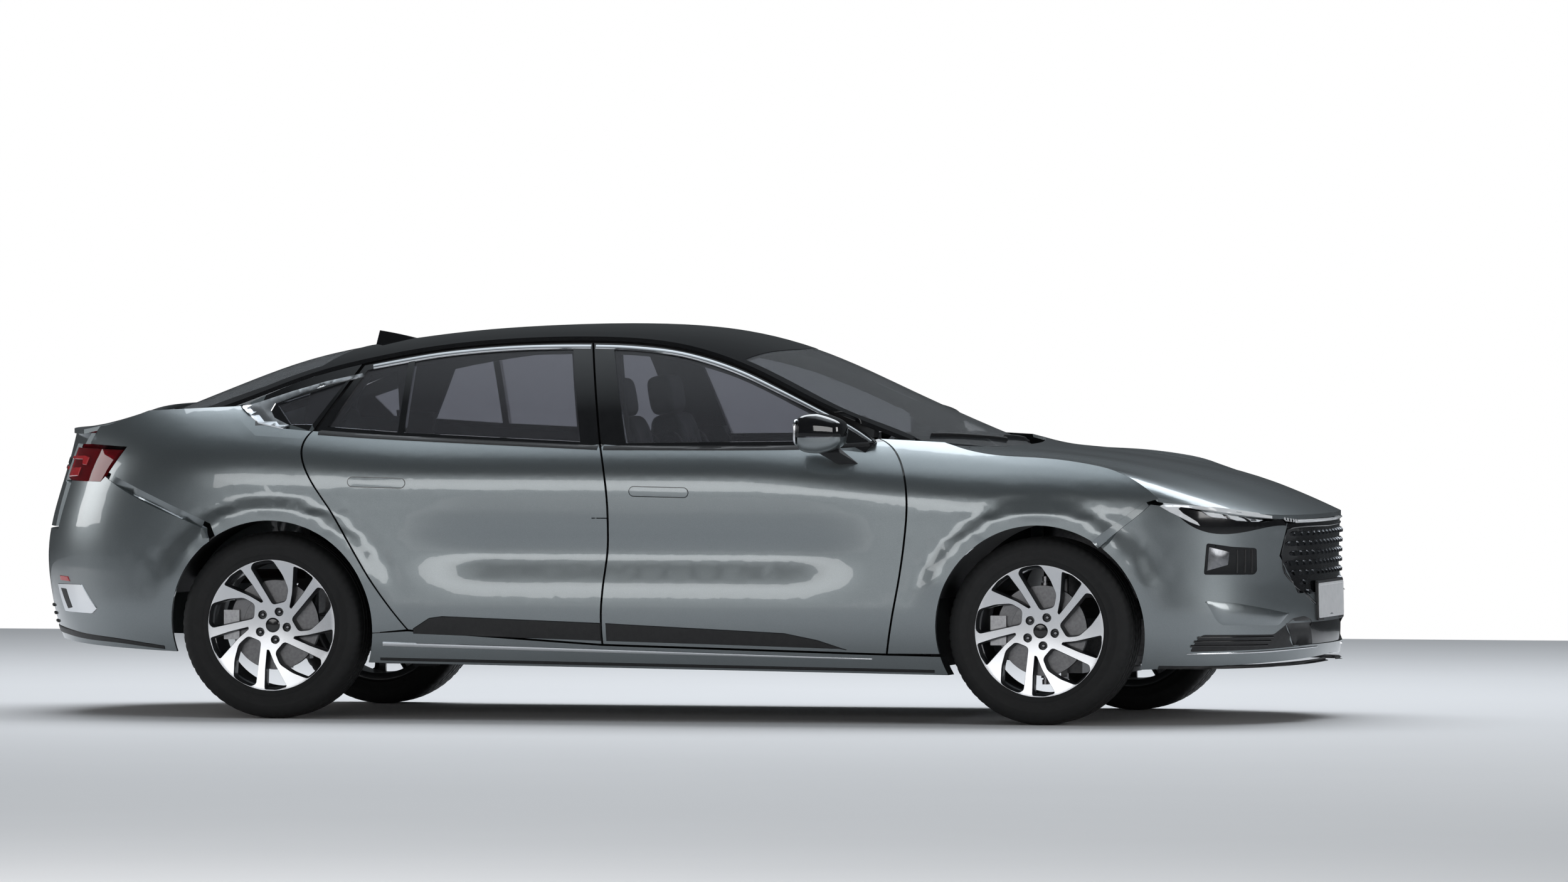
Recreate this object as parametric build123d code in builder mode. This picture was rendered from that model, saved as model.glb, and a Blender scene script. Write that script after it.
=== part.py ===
"""Midsize four-door fastback sedan, built panel by panel from a few shared body surfaces.

Millimetres. +X points forward, +Y to the car's left, +Z up. The origin is on the ground, at the middle
of the car's length and width. Each panel is a slab cut from the surface that it shares with its
neighbours, so the panels meet along their shut lines with one even gap.
"""

import os
from math import asin, atan2, cos, degrees, exp, hypot, pi, radians, sin, sqrt

from build123d import *

os.makedirs("parts", exist_ok=True)

# Driving dimensions of the whole car
LENGTH = 4935
WHEELBASE = 2954
FRONT_OVERHANG = 920
HALF_WIDTH = 924
TYRE_RADIUS = 350
TYRE_WIDTH = 245
TRACK = 1590
ARCH_RADIUS = 394
NOSE_X = LENGTH / 2
FRONT_AXLE = NOSE_X - FRONT_OVERHANG
REAR_AXLE = FRONT_AXLE - WHEELBASE
REAR_OVERHANG = LENGTH - WHEELBASE - FRONT_OVERHANG
AXLES = (FRONT_AXLE, REAR_AXLE)

# Gaps and wall thicknesses
GAP = 8
SEAT_GAP = 0.4
DOOR_THICKNESS = 72
DOOR_FRAME = 40
PANEL = 20
HOOD_THICKNESS = 16
GLASS = 5
GLASS_RECESS = 7
FRAME_GAP = 14
FRAME_WALL = 34
ROOF_THICKNESS = 16
DOOR_TOP_GAP = 9
SILL_TOP_GAP = 8
BUMPER_WALL = 26

# Shape of the body side, in section and in plan
PLAN_POWER = 2.5
SHOULDER_TUCK_REAR = 10
SHOULDER_TUCK_FRONT = 17
CREST_HEIGHT = 428
CREST_SLOPE = 0.10
SILL_TUCK = 20
SCALLOP_DEPTH = 26
SCALLOP_HEIGHT = 632
SCALLOP_SPREAD = 95
FLARE_HEIGHT = 13
FLARE_INNER = 436
FLARE_OUTER = 492
SIDE_LOW = 150
SIDE_HIGH = 1210

# Shape of the cabin: tumblehome of the side glass, crown and bow of the roof
BELT_HALF_WIDTH = 850
BELT_BOW = 25
BELT_LEVEL = 1025
TUMBLE_SLOPE = 0.50
TUMBLE_CURVE = 0.00035
ROOF_CROWN = 42
SCREEN_CROWN = 8
ROOF_HALF_WIDTH = 605
SCREEN_BOW = 122
SCREEN_BOW_WIDTH = 700

# Hood, deck and the diagonal along which the corner pieces are cut
HOOD_REAR_CENTRE = 1296
HOOD_REAR_EDGE = 1192
HOOD_CORNER = 1985
HOOD_NOSE_HEIGHT = 772
HOOD_INSET = 5
HOOD_RIDGE = 7
HOOD_RIDGE_PLACE = 0.62
DECK_FRONT = -1960
DECK_HALF_WIDTH = 640
END_SWEEP = 80
DIAGONAL_X = 0.8
DIAGONAL_Y = 0.6

# Hinges
HINGE_HEIGHTS = (430, 790)
HINGE_DEPTH = 16
HINGE_PIN = 5
HINGE_EYE = 9
HINGE_PLAY = 0.1
HINGE_LEAF = 40
NOTCH_HEIGHT = 64
FRONT_HINGE_X = 955
REAR_HINGE_X = -150

# Wheels and what carries them
RIM_SEAT = 241
RIM_FLANGE = 258
RIM_INSIDE = 228
RIM_HALF_WIDTH = 112
HUB_FACE = 46
HUB_RADIUS = 76
SPINDLE = 30
SPINDLE_PLAY = 0.1
DISC_RADIUS = 168
KINGPIN = 8
KINGPIN_PLAY = 0.1
EAR_HEIGHT = 165
EAR_RADIUS = 16
ARM_WIDTH = 24
ARM_HEIGHT = 18
ARM_GAP = 6
DISC_IN = 22
BRAKE_GAP = 5.4
FRONT_WELL = 480
REAR_WELL = 640
LINER = 5

SURFACE_TOLERANCE = 1.6
FAR = 1400
INWARD = (0, 1, 0)
NOSE_INWARD = (-DIAGONAL_X, DIAGONAL_Y, 0)
TAIL_INWARD = (DIAGONAL_X, DIAGONAL_Y, 0)

# Lines of the car in side view, as (x, z) points from rear to front or top to bottom
ROOF_CENTRE = [
    (-2060, 1108), (-1941, 1156), (-1737, 1236), (-1457, 1336), (-1150, 1401), (-843, 1442),
    (-537, 1464), (-232, 1471), (73, 1456), (414, 1382), (657, 1284), (961, 1146), (1264, 1022), (1380, 976),
]
HOOD_CENTRE = [(1180, 1034), (1287, 1024), (1589, 995), (1890, 952), (2191, 880), (2341, 827), (2467.5, 772)]
DECK_CENTRE = [(-2420, 1071), (-2290, 1080), (-2172, 1102), (-2050, 1136), (-1941, 1170)]
DECK_EDGE = [(-2420, 1050), (-2290, 1056), (-2172, 1080), (-2050, 1112), (-1941, 1150)]
HOOD_EDGE = [(1184, 1036), (1290, 1010), (1520, 992), (1740, 966), (1870, 926), (1985, 848)]
BELT = [(-1420, 1088), (-1265, 1077), (-936, 1058), (-146, 1025), (561, 1029), (935, 1046)]
DOOR_TOP_FRONT = [(-235, 1412), (78, 1394), (358, 1334), (644, 1213), (905, 1058)]
DOOR_TOP_REAR = [(-1096, 1309), (-830, 1366), (-528, 1400), (-235, 1412)]
A_LINE = [(905, 1058), (1002, 983), (1043, 866), (1041, 719), (1017, 541), (963, 262)]
B_LINE = [(-149, 1034), (-121, 946), (-101, 770), (-111, 592), (-127, 290)]
C_LINE = [(-1265, 1077), (-1292, 1012), (-1272, 938), (-1179, 792), (-1025, 540), (-877, 339)]


def spline_through(points):
    """A natural cubic spline through (x, z) points, as a function of x that runs on straight at its ends."""
    xs = [p[0] for p in points]
    zs = [p[1] for p in points]
    n = len(points)
    steps = [xs[i + 1] - xs[i] for i in range(n - 1)]
    slopes = [(zs[i + 1] - zs[i]) / steps[i] for i in range(n - 1)]
    ratio, part = [0.0] * n, [0.0] * n
    for i in range(1, n - 1):
        pivot = 2 * (steps[i - 1] + steps[i]) - steps[i - 1] * ratio[i - 1]
        ratio[i] = steps[i] / pivot
        part[i] = (6 * (slopes[i] - slopes[i - 1]) - steps[i - 1] * part[i - 1]) / pivot
    bend = [0.0] * n
    for i in range(n - 2, 0, -1):
        bend[i] = part[i] - ratio[i] * bend[i + 1]

    def value(x):
        i = max(0, min(n - 2, sum(x > k for k in xs[1:-1])))
        a, b = xs[i + 1] - x, x - xs[i]
        h = steps[i]
        if x < xs[0] or x > xs[-1]:
            end = 0 if x < xs[0] else n - 1
            slope = slopes[0] - h * bend[1] / 6 if end == 0 else slopes[-1] + h * bend[-2] / 6
            return zs[end] + slope * (x - xs[end])
        cubic = (bend[i] * a**3 + bend[i + 1] * b**3) / (6 * h)
        return cubic + (zs[i] / h - bend[i] * h / 6) * a + (zs[i + 1] / h - bend[i + 1] * h / 6) * b

    return value


def ease(low, high, t):
    """0 below low, 1 above high, with a smooth rise between."""
    s = max(0.0, min(1.0, (t - low) / (high - low)))
    return s * s * (3 - 2 * s)


def spread(low, high, count):
    return [low + (high - low) * i / (count - 1) for i in range(count)]


roof_centre = spline_through(ROOF_CENTRE)
hood_centre = spline_through(HOOD_CENTRE)
deck_centre = spline_through(DECK_CENTRE)
deck_edge = spline_through(DECK_EDGE)
hood_edge = spline_through(HOOD_EDGE)
belt = spline_through(BELT)
nose_reach = spline_through([(150, 880), (250, 914), (310, FRONT_OVERHANG), (500, 914), (700, 916), (772, 915), (900, 880)])
tail_reach = spline_through([(150, 950), (280, 1005), (440, 1045), (610, REAR_OVERHANG), (795, 1025), (990, 968), (1080, 955)])


def plan_share(x, z):
    """Share of the half width left at x: 1 between the axles, closing in a round end past them."""
    if x > FRONT_AXLE:
        t = (x - FRONT_AXLE) / nose_reach(z)
    elif x < REAR_AXLE:
        t = (REAR_AXLE - x) / tail_reach(z)
    else:
        return 1.0
    return max(0.0, 1 - t**PLAN_POWER) ** (1 / PLAN_POWER)


def section(x, z):
    """How far the body side stands in from its widest, at x along the car and height z."""
    widest = 850 - 80 * ease(300, 1500, x)
    tuck = SHOULDER_TUCK_REAR + (SHOULDER_TUCK_FRONT - SHOULDER_TUCK_REAR) * ease(-1500, -700, x)
    above = tuck * max(0.0, (z - widest) / 100) ** PLAN_POWER
    drop = max(0.0, CREST_HEIGHT - z)
    below = CREST_SLOPE * drop + SILL_TUCK * (drop / 170) ** 2
    window = ease(-940, -560, x) * (1 - ease(560, 960, x))
    scallop = SCALLOP_DEPTH * window * exp(-(((z - SCALLOP_HEIGHT) / SCALLOP_SPREAD) ** 2))
    return above + below + scallop


def flare(x, z):
    """Raised lip round the wheel arches, fading out low down."""
    rim = min(hypot(x - axle, z - TYRE_RADIUS) for axle in AXLES)
    return FLARE_HEIGHT * (1 - ease(FLARE_INNER, FLARE_OUTER, rim)) * ease(400, 540, z)


def side(x, z):
    """Half width of the lower body at x and z."""
    return HALF_WIDTH * plan_share(x, z) - section(x, z) + flare(x, z)


def cabin_side(x, z):
    """Half width of the cabin at the side glass."""
    up = z - BELT_LEVEL
    return BELT_HALF_WIDTH - BELT_BOW * ((x + 150) / 1000) ** 2 - TUMBLE_SLOPE * up - TUMBLE_CURVE * up * abs(up)


def cabin_top(x, y):
    """Height of the roof, windscreen and rear window."""
    bow = SCREEN_BOW * (y / SCREEN_BOW_WIDTH) ** 2
    shift = bow * (ease(-200, 700, x) - 1 + ease(-1300, -400, x))
    crown = ROOF_CROWN + (SCREEN_CROWN - ROOF_CROWN) * ease(100, 800, x)
    return roof_centre(x + shift) - crown * abs(y / ROOF_HALF_WIDTH) ** 3


def rail(x):
    """Half width at which the cabin's side and top meet, found by halving."""
    low, high = 300.0, 900.0
    for _ in range(40):
        y = (low + high) / 2
        if y < cabin_side(x, cabin_top(x, y)):
            low = y
        else:
            high = y
    return low


def surface(rows):
    return Face.make_surface_from_array_of_points(rows, tol=SURFACE_TOLERANCE, min_deg=3, max_deg=3)


def end_row(z, axle, reach, sign):
    """Points round one end of the car at height z, from the middle to the body side."""
    row = []
    for angle in spread(0, END_SWEEP, 40):
        share = sin(radians(angle)) ** (2 / PLAN_POWER)
        x = axle + sign * reach(z) * cos(radians(angle)) ** (2 / PLAN_POWER)
        y = HALF_WIDTH * share - (section(x, z) - flare(x, z)) * ease(0, 0.6, share)
        row.append((x, -y, z))
    return row


def hood_lead(share):
    """Height of the hood's front edge at a share of its half width."""
    return HOOD_NOSE_HEIGHT + (hood_edge(HOOD_CORNER) - HOOD_NOSE_HEIGHT) * abs(share) ** 6


def hood_row(t):
    """One line across the hood: straight at the cowl, bowed like the nose at the front."""
    back = HOOD_CORNER - HOOD_REAR_EDGE
    centre = HOOD_REAR_CENTRE + (NOSE_X - HOOD_INSET - HOOD_REAR_CENTRE) * t
    edge_x = HOOD_REAR_EDGE + back * t
    edge_y = side(edge_x, hood_edge(edge_x)) - GAP
    turn = (side(HOOD_CORNER, hood_edge(HOOD_CORNER)) - GAP) / HALF_WIDTH
    full = 1 - (1 - turn**PLAN_POWER) ** (1 / PLAN_POWER)
    row = []
    for share in spread(-1, 1, 41):
        s = abs(share)
        nose_bow = (1 - (1 - (turn * s) ** PLAN_POWER) ** (1 / PLAN_POWER)) / full
        bow = (1 - t) * s * s + t * nose_bow
        roll = s ** (3 + 3 * t)
        x = centre - (centre - edge_x) * bow
        z = hood_centre(centre) * (1 - roll) + hood_edge(edge_x) * roll
        z += HOOD_RIDGE * exp(-(((s - HOOD_RIDGE_PLACE) / 0.14) ** 2)) * ease(0, 0.3, t) * (1 - ease(0.75, 1, t))
        row.append((x, share * edge_y, z))
    return row


def deck_top(x, y):
    """Height of the trunk lid's top."""
    return deck_centre(x) - (deck_centre(x) - deck_edge(x)) * abs(y / DECK_HALF_WIDTH) ** 3


side_face = surface([[(x, -side(x, z), z) for x in spread(-2215, 2195, 141)] for z in spread(SIDE_LOW, SIDE_HIGH, 40)])
frame_face = surface([[(x, -side(x, z), z) for x in spread(-1400, 1150, 24)] for z in spread(SIDE_LOW, SIDE_HIGH, 20)])
cabin_side_face = surface(
    [[(x, -cabin_side(x, z), z) for x in spread(-2000, 1200, 30)] for z in spread(960, 1480, 12)]
)
cabin_top_face = surface(
    [[(x, y, cabin_top(x, y)) for x in spread(-2040, 1360, 64)] for y in spread(-830, 830, 33)]
)
hood_face = surface([hood_row(t) for t in spread(0, 1, 30)])
nose_face = surface([end_row(z, FRONT_AXLE, nose_reach, 1) for z in spread(SIDE_LOW, 900, 30)])
tail_face = surface([end_row(z, REAR_AXLE, tail_reach, -1) for z in spread(SIDE_LOW, 1080, 36)])
deck_face = surface([[(x, y, deck_top(x, y)) for x in spread(-2440, -1900, 18)] for y in spread(-760, 760, 31)])


def front_view(x, y, z):
    """A point as seen along the front corner's diagonal."""
    return (x * DIAGONAL_Y - y * -DIAGONAL_X, z)


def moved(points, dx=0.0, dz=0.0):
    return [(x + dx, z + dz) for x, z in points]


def slab(face, start, thickness, direction):
    """A wall that starts a little way behind a surface."""
    move = Vector(*direction).normalized() * start
    with BuildPart() as wall:
        extrude(to_extrude=face.moved(Location(move)), amount=thickness, dir=direction)
    return wall.part


def outline(plane, *edges):
    """A closed sketch from lists of points: three points or more make a curve, two make a line."""
    with BuildSketch(plane) as sketch:
        with BuildLine():
            start = None
            for edge in edges:
                points = ([start] if start else []) + list(edge)
                if len(points) > 2:
                    Spline(*points)
                else:
                    Line(*points)
                start = points[-1]
            Line(start, edges[0][0])
        make_face()
    return sketch.sketch


def prism(sketch, plane, amount):
    """A sketch drawn on a plane, pushed out along that plane's direction."""
    with BuildPart() as body:
        extrude(to_extrude=sketch, amount=amount, dir=tuple(plane.z_dir))
    return body.part


def upright(*edges):
    """A prism through the whole height of the car with an outline given in plan."""
    return prism(outline(Plane.XY, *edges), Plane.XY, 2000)


def across(*edges, start, length):
    """A prism along the car with an outline given in front view."""
    plane = Plane.YZ.offset(start)
    return prism(outline(plane, *edges), plane, length)


def rail_height(x):
    """Height of the roof's outer edge."""
    return cabin_top(x, rail(x))


def door_top(x):
    """Height of a door frame's top edge, clear of the roof's edge above it."""
    return rail_height(x) - ROOF_THICKNESS - DOOR_TOP_GAP


def finish(part, label):
    part.label = label
    export_step(part, f"parts/{label}.step")
    return part


def both_sides(part):
    """A right-hand piece with its left-hand twin."""
    with BuildPart() as pair:
        add(part)
        mirror(about=Plane.XZ)
    return pair.part


def side_outline(*edges):
    """A prism through the right half of the car with an outline given in side view."""
    return prism(outline(Plane.XZ, *edges), Plane.XZ, FAR)


def arch_well(axle, inside, radius=ARCH_RADIUS):
    """The room for one right-hand wheel."""
    with BuildPart() as well:
        with BuildSketch(Plane.XZ.offset(inside)):
            with Locations((axle, TYRE_RADIUS)):
                Circle(radius)
        extrude(amount=FAR)
    return well.part


front_well = arch_well(FRONT_AXLE, FRONT_WELL)
rear_well = arch_well(REAR_AXLE, REAR_WELL)
front_liner_room = arch_well(FRONT_AXLE, FRONT_WELL, ARCH_RADIUS + LINER + 2)
rear_liner_room = arch_well(REAR_AXLE, REAR_WELL - 1, ARCH_RADIUS + LINER + 2)
shut = GAP / 2

# Door outlines in side view, drawn half a gap in from the shut lines
front_lower = side_outline(
    moved(A_LINE, -shut), [(B_LINE[-1][0] + shut, B_LINE[-1][1])], moved(B_LINE[-2::-1], shut),
    [(200, belt(200)), (561, belt(561)), (840, belt(840))],
)
front_upper = side_outline(
    [(x, door_top(x)) for x in spread(-235 + shut, 860, 8)], [(900, 1046)], [(860, 1000)],
    [(-141 + shut, 1000)],
)
rear_lower = side_outline(
    moved(B_LINE, -shut), [(C_LINE[-1][0] + shut, C_LINE[-1][1])], moved(C_LINE[-2::-1], shut),
    [(-936, belt(-936)), (-540, belt(-540)), (-200, belt(-200))],
)
rear_upper = side_outline(
    [(x, door_top(x)) for x in spread(-1110, -235 - shut, 6)], [(-141 - shut, 1000)], [(-1240, 1040)],
    [(-1262 + shut, 1082)],
)
front_window = side_outline(
    [(x, door_top(x) - 20) for x in spread(-150, 720, 6)], [(790, 1072)], [(775, belt(775) + 14)],
    [(-50, belt(-50) + 16)],
)
rear_window_main = side_outline(
    [(x, door_top(x) - 20) for x in spread(-915, -308, 5)], [(-226, belt(-226) + 16)],
    [(-915, belt(-915) + 16)],
)
rear_window_fixed = side_outline(
    [(x, door_top(x) - 20) for x in spread(-1095, -940, 3)], [(-940, belt(-940) + 16)],
    [(-1218, belt(-1218) + 18)],
)


def b_edge(z):
    return b_lower(z) if z < 1034 else -149 - 86 * (z - 1034) / 378


def c_edge(z):
    return c_lower(z) if z < 1077 else -1265 + 169 * (z - 1077) / 232


b_lower = spline_through([(z, x) for x, z in B_LINE[::-1]])
c_lower = spline_through([(z, x) for x, z in C_LINE[::-1]])


def swing_relief(edge, heights):
    """What is cut from a door's trailing edge so that its inner face swings out past its neighbour."""
    with BuildPart() as relief:
        for z in heights:
            x = edge(z) + shut
            upper = z > belt(x)
            outer = (cabin_side(x, z) if upper else side(x, z)) - 3
            depth = (DOOR_FRAME if upper else DOOR_THICKNESS) + 30
            cut = 5 + depth * (HALF_WIDTH - outer + 60) / 1100
            with BuildSketch(Plane.XY.offset(z)):
                with BuildLine():
                    Polyline((x, -outer), (x + cut, depth - outer), (x - 30, depth - outer), close=True)
                make_face()
        loft(ruled=True)
    return relief.part


def door(lower, upper, windows, hinge_x, edge, heights):
    """One right-hand door: a thick lower part, a thinner window frame and two hinge pins in notches."""
    hinge_y = HINGE_DEPTH - HALF_WIDTH
    with BuildPart() as frame:
        add(slab(cabin_side_face, 0, DOOR_FRAME, INWARD))
        add(upper, mode=Mode.INTERSECT)
        for window in windows:
            add(window, mode=Mode.SUBTRACT)
    with BuildPart() as panel:
        add(slab(side_face, 0, DOOR_THICKNESS, INWARD))
        add(lower, mode=Mode.INTERSECT)
        add(frame.part)
        add(swing_relief(edge, heights), mode=Mode.SUBTRACT)
        for z in HINGE_HEIGHTS:
            with Locations((hinge_x - HINGE_EYE - 4, hinge_y - HINGE_EYE - 3, z - NOTCH_HEIGHT / 2)):
                Box(200, 120, NOTCH_HEIGHT, align=(Align.MIN, Align.MIN, Align.MIN), mode=Mode.SUBTRACT)
            with Locations((hinge_x, hinge_y, z)):
                Cylinder(HINGE_PIN, NOTCH_HEIGHT + 2)
    return panel.part


front_door = door(
    front_lower, front_upper, [front_window], FRONT_HINGE_X, b_edge, (280, 450, 632, 770, 900, 1020, 1036, 1420)
)
rear_door = door(
    rear_lower, rear_upper, [rear_window_main, rear_window_fixed], REAR_HINGE_X, c_edge,
    (330, 440, 540, 660, 792, 938, 1012, 1060, 1080, 1330),
)


def side_glass(windows):
    """Right-hand panes that fill the window openings a little way in from the frame's face."""
    panes = []
    for window in windows:
        with BuildPart() as pane:
            add(slab(cabin_side_face, GLASS_RECESS, GLASS, INWARD))
            add(offset(window, amount=-SEAT_GAP, mode=Mode.PRIVATE), mode=Mode.INTERSECT)
        panes.append(pane.part)
    with BuildPart() as glass:
        for pane in panes:
            add(pane)
    return glass.part


front_glass = side_glass([front_window])
rear_glass = side_glass([rear_window_main, rear_window_fixed])

finish(front_door, "door_front_right")
finish(mirror(front_door, about=Plane.XZ), "door_front_left")
finish(rear_door, "door_rear_right")
finish(mirror(rear_door, about=Plane.XZ), "door_rear_left")
finish(front_glass, "glass_front_right")
finish(mirror(front_glass, about=Plane.XZ), "glass_front_left")
finish(rear_glass, "glass_rear_right")
finish(mirror(rear_glass, about=Plane.XZ), "glass_rear_left")

# Fenders, from the hood's edge down to the wheel arch and back to the front doors
hood_room = upright(
    [(x, -side(x, hood_edge(x))) for x in spread(HOOD_CORNER + 40, 1150, 13)], [(1150, 0)], [(HOOD_CORNER + 40, 0)]
)
with BuildPart() as fender:
    add(slab(side_face, 0, PANEL, INWARD))
    add(
        side_outline(
            moved(A_LINE, shut), [(1250, A_LINE[-1][1])], [(1700, 640)], [(1798, 722)], [(1938, 828)], [(1990, 843)],
            [(x, hood_edge(x)) for x in spread(1980, 1190, 9)], [(1150, 1046)],
        ),
        mode=Mode.INTERSECT,
    )
    add(front_well, mode=Mode.SUBTRACT)
    add(hood_room, mode=Mode.SUBTRACT)
finish(both_sides(fender.part), "fenders")

# Quarter panels with the rear pillars and the fixed quarter glass
quarter_window = side_outline([(-1432, 1176), (-1172, 1262)], [(-1280, 1100)], [(-1366, 1100)])
with BuildPart() as pillar:
    add(slab(cabin_side_face, 0, PANEL, INWARD))
    add(
        side_outline(
            [(x, rail_height(x) - ROOF_THICKNESS - 2) for x in spread(-1540, -1122, 5)], [(-1270, 1084)],
            [(-1290, 1060)], [(-1470, 1060)],
        ),
        mode=Mode.INTERSECT,
    )
    add(quarter_window, mode=Mode.SUBTRACT)
with BuildPart() as ledge:
    add(slab(side_face, 0, 94, INWARD))
    add(
        side_outline(
            [(-1560, 1158), (-1478, 1106)], [(-1376, 1085)], [(-1290, 1078)], [(-1300, 1050)], [(-1480, 1060)],
            [(-1570, 1130)],
        ),
        mode=Mode.INTERSECT,
    )
lid_room = prism(
    outline(
        Plane.XY.offset(1012), [(x, 3 - side(x, deck_edge(x))) for x in spread(DECK_FRONT + GAP, -2160, 5)],
        [(-2214, -606)], [(-2460, -606)], [(-2460, 0)], [(DECK_FRONT + GAP, 0)],
    ),
    Plane.XY, 300,
)
with BuildPart() as quarter:
    add(slab(side_face, 0, PANEL, INWARD))
    add(
        side_outline(
            moved(C_LINE, -shut), [(-1015, 325)], [(-1300, 500)], [(-1600, 640)], [(-1636, 730)], [(-2078, 916)],
            [(-2004, 1014)], [(-2190, 1020)], [(x, deck_edge(x)) for x in spread(-2190, -1945, 5)],
            [(-1568, 1168)], [(-1478, 1108)], [(-1376, 1086)],
        ),
        mode=Mode.INTERSECT,
    )
    add(lid_room, mode=Mode.SUBTRACT)
    add(ledge.part)
    add(pillar.part)
    add(rear_well, mode=Mode.SUBTRACT)
finish(both_sides(quarter.part), "quarter_panels")
quarter_glass = side_glass([quarter_window])
finish(both_sides(quarter_glass), "quarter_glass")

# Sills under the doors
with BuildPart() as sill:
    add(slab(side_face, 0, DOOR_THICKNESS + FRAME_GAP + 10, INWARD))
    add(
        side_outline(
            [(-1080, 213), (1200, 182)], [(1200, 250)], [(963, A_LINE[-1][1] - SILL_TOP_GAP)],
            [(-127, B_LINE[-1][1] - SILL_TOP_GAP)], [(-877, C_LINE[-1][1] - SILL_TOP_GAP)], [(-1080, 318)],
        ),
        mode=Mode.INTERSECT,
    )
    add(slab(frame_face, DOOR_THICKNESS + FRAME_GAP - SEAT_GAP, 90, INWARD), mode=Mode.SUBTRACT)
    add(front_well, mode=Mode.SUBTRACT)
    add(rear_well, mode=Mode.SUBTRACT)
finish(both_sides(sill.part), "sills")


def roof_edge(x):
    """Half width of the roof panel, narrowing to the pillar feet at both ends."""
    front = rail(x) - (rail(x) - 722) * ease(700, 905, x)
    return min(front, 706 - 71 * ease(-1400, -1930, x) if x < -1400 else front)


def screen_edges(inset):
    """Plan outline of the windscreen, or of its opening a little larger."""
    flank = [(x, roof_edge(x) - 46 - inset) for x in (350 + inset, 500, 650, 800, 905, 1050)]
    head = [(350 + inset, flank[0][1]), (400 + inset, 300), (424 + inset, 0)]
    foot = [(1050, flank[-1][1]), (1170, 470), (1266, 200), (1284, 0)]
    return (
        symmetric(head[:-1], head[-1]), flank[1:], symmetric(foot[1:-1][::-1], foot[-1], -1) + [(1050, -foot[0][1])],
        [(x, -y) for x, y in flank[-2:0:-1]],
    )


def symmetric(points, middle, sign=1):
    """A run of points from one side over a middle point to the other side."""
    near = [(x, -sign * y) for x, y in points] if sign == 1 else [(x, y) for x, y in points[::-1]]
    far = [(x, -y) for x, y in near[::-1]]
    return near + [middle] + far


def back_edges(inset):
    """Plan outline of the rear window, or of its opening a little larger."""
    flank = [(x, roof_edge(x) - 62 - inset) for x in (-1290 - inset, -1500, -1700, -1890 + inset)]
    head = [(-1290 - inset, flank[0][1]), (-1225 - inset, 300), (-1205 - inset, 0)]
    foot = [(-1890 + inset, flank[-1][1]), (-1918 + inset, 400), (-1926 + inset, 0)]
    return (
        symmetric(head[:-1], head[-1]), flank[1:], symmetric(foot[1:-1][::-1], foot[-1], -1) + [(foot[0][0], -foot[0][1])],
        [(x, -y) for x, y in flank[-2:0:-1]],
    )


ROOF_END = -1935
roof_run = spread(1140, -1930, 20)
roof_edges = (
    [(x, roof_edge(x)) for x in roof_run],
    [(ROOF_END, 400), (ROOF_END - 2, 0), (ROOF_END, -400), (-1930, -roof_edge(-1930))],
    [(x, -roof_edge(x)) for x in roof_run[-2::-1]],
)
DOWN = (0, 0, -1)
PILLAR_FOOT = 1020
with BuildPart() as roof:
    add(slab(cabin_top_face, 0, ROOF_THICKNESS, DOWN))
    add(upright(*roof_edges), mode=Mode.INTERSECT)
    add(upright(*screen_edges(0)), mode=Mode.SUBTRACT)
    add(upright(*back_edges(0)), mode=Mode.SUBTRACT)
    add(upright([(PILLAR_FOOT, -900), (1400, -900)], [(1400, 900)], [(PILLAR_FOOT, 900)]), mode=Mode.SUBTRACT)
finish(roof.part, "roof")


def pane(edges):
    """A curved pane that fills an opening in the roof panel, just under its skin."""
    with BuildPart() as glass:
        add(slab(cabin_top_face, 2, GLASS, DOWN))
        add(upright(*edges), mode=Mode.INTERSECT)
    return glass.part


finish(pane(screen_edges(SEAT_GAP)), "windshield")
finish(pane(back_edges(SEAT_GAP)), "rear_window")

# Hood and trunk lid
PANEL_PIN = 4
PANEL_EYE = 7.5
PANEL_NOTCH = 36
HOOD_HINGE = (1224, 690, 1019)
LID_HINGE = (DECK_FRONT - 24, 540, 1134)


def panel_hinges(hinge, rearward):
    """Pins of the two hinges of a lid and the notches that they sit in."""
    x, y, z = hinge
    with BuildPart() as notches:
        for side_y in (-y, y):
            with Locations((x - rearward * 20, side_y, z - 12)):
                Box(64, PANEL_NOTCH, 24 + 2 * PANEL_EYE)
    with BuildPart() as pins:
        for side_y in (-y, y):
            with Locations(Location((x, side_y, z), (90, 0, 0))):
                Cylinder(PANEL_PIN, PANEL_NOTCH + 2)
    return notches.part, pins.part


with BuildPart() as hood:
    add(slab(hood_face, 0, HOOD_THICKNESS, DOWN))
    hood_notches, hood_pins = panel_hinges(HOOD_HINGE, 1)
    add(hood_notches, mode=Mode.SUBTRACT)
    add(hood_pins)
finish(hood.part, "hood")

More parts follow.
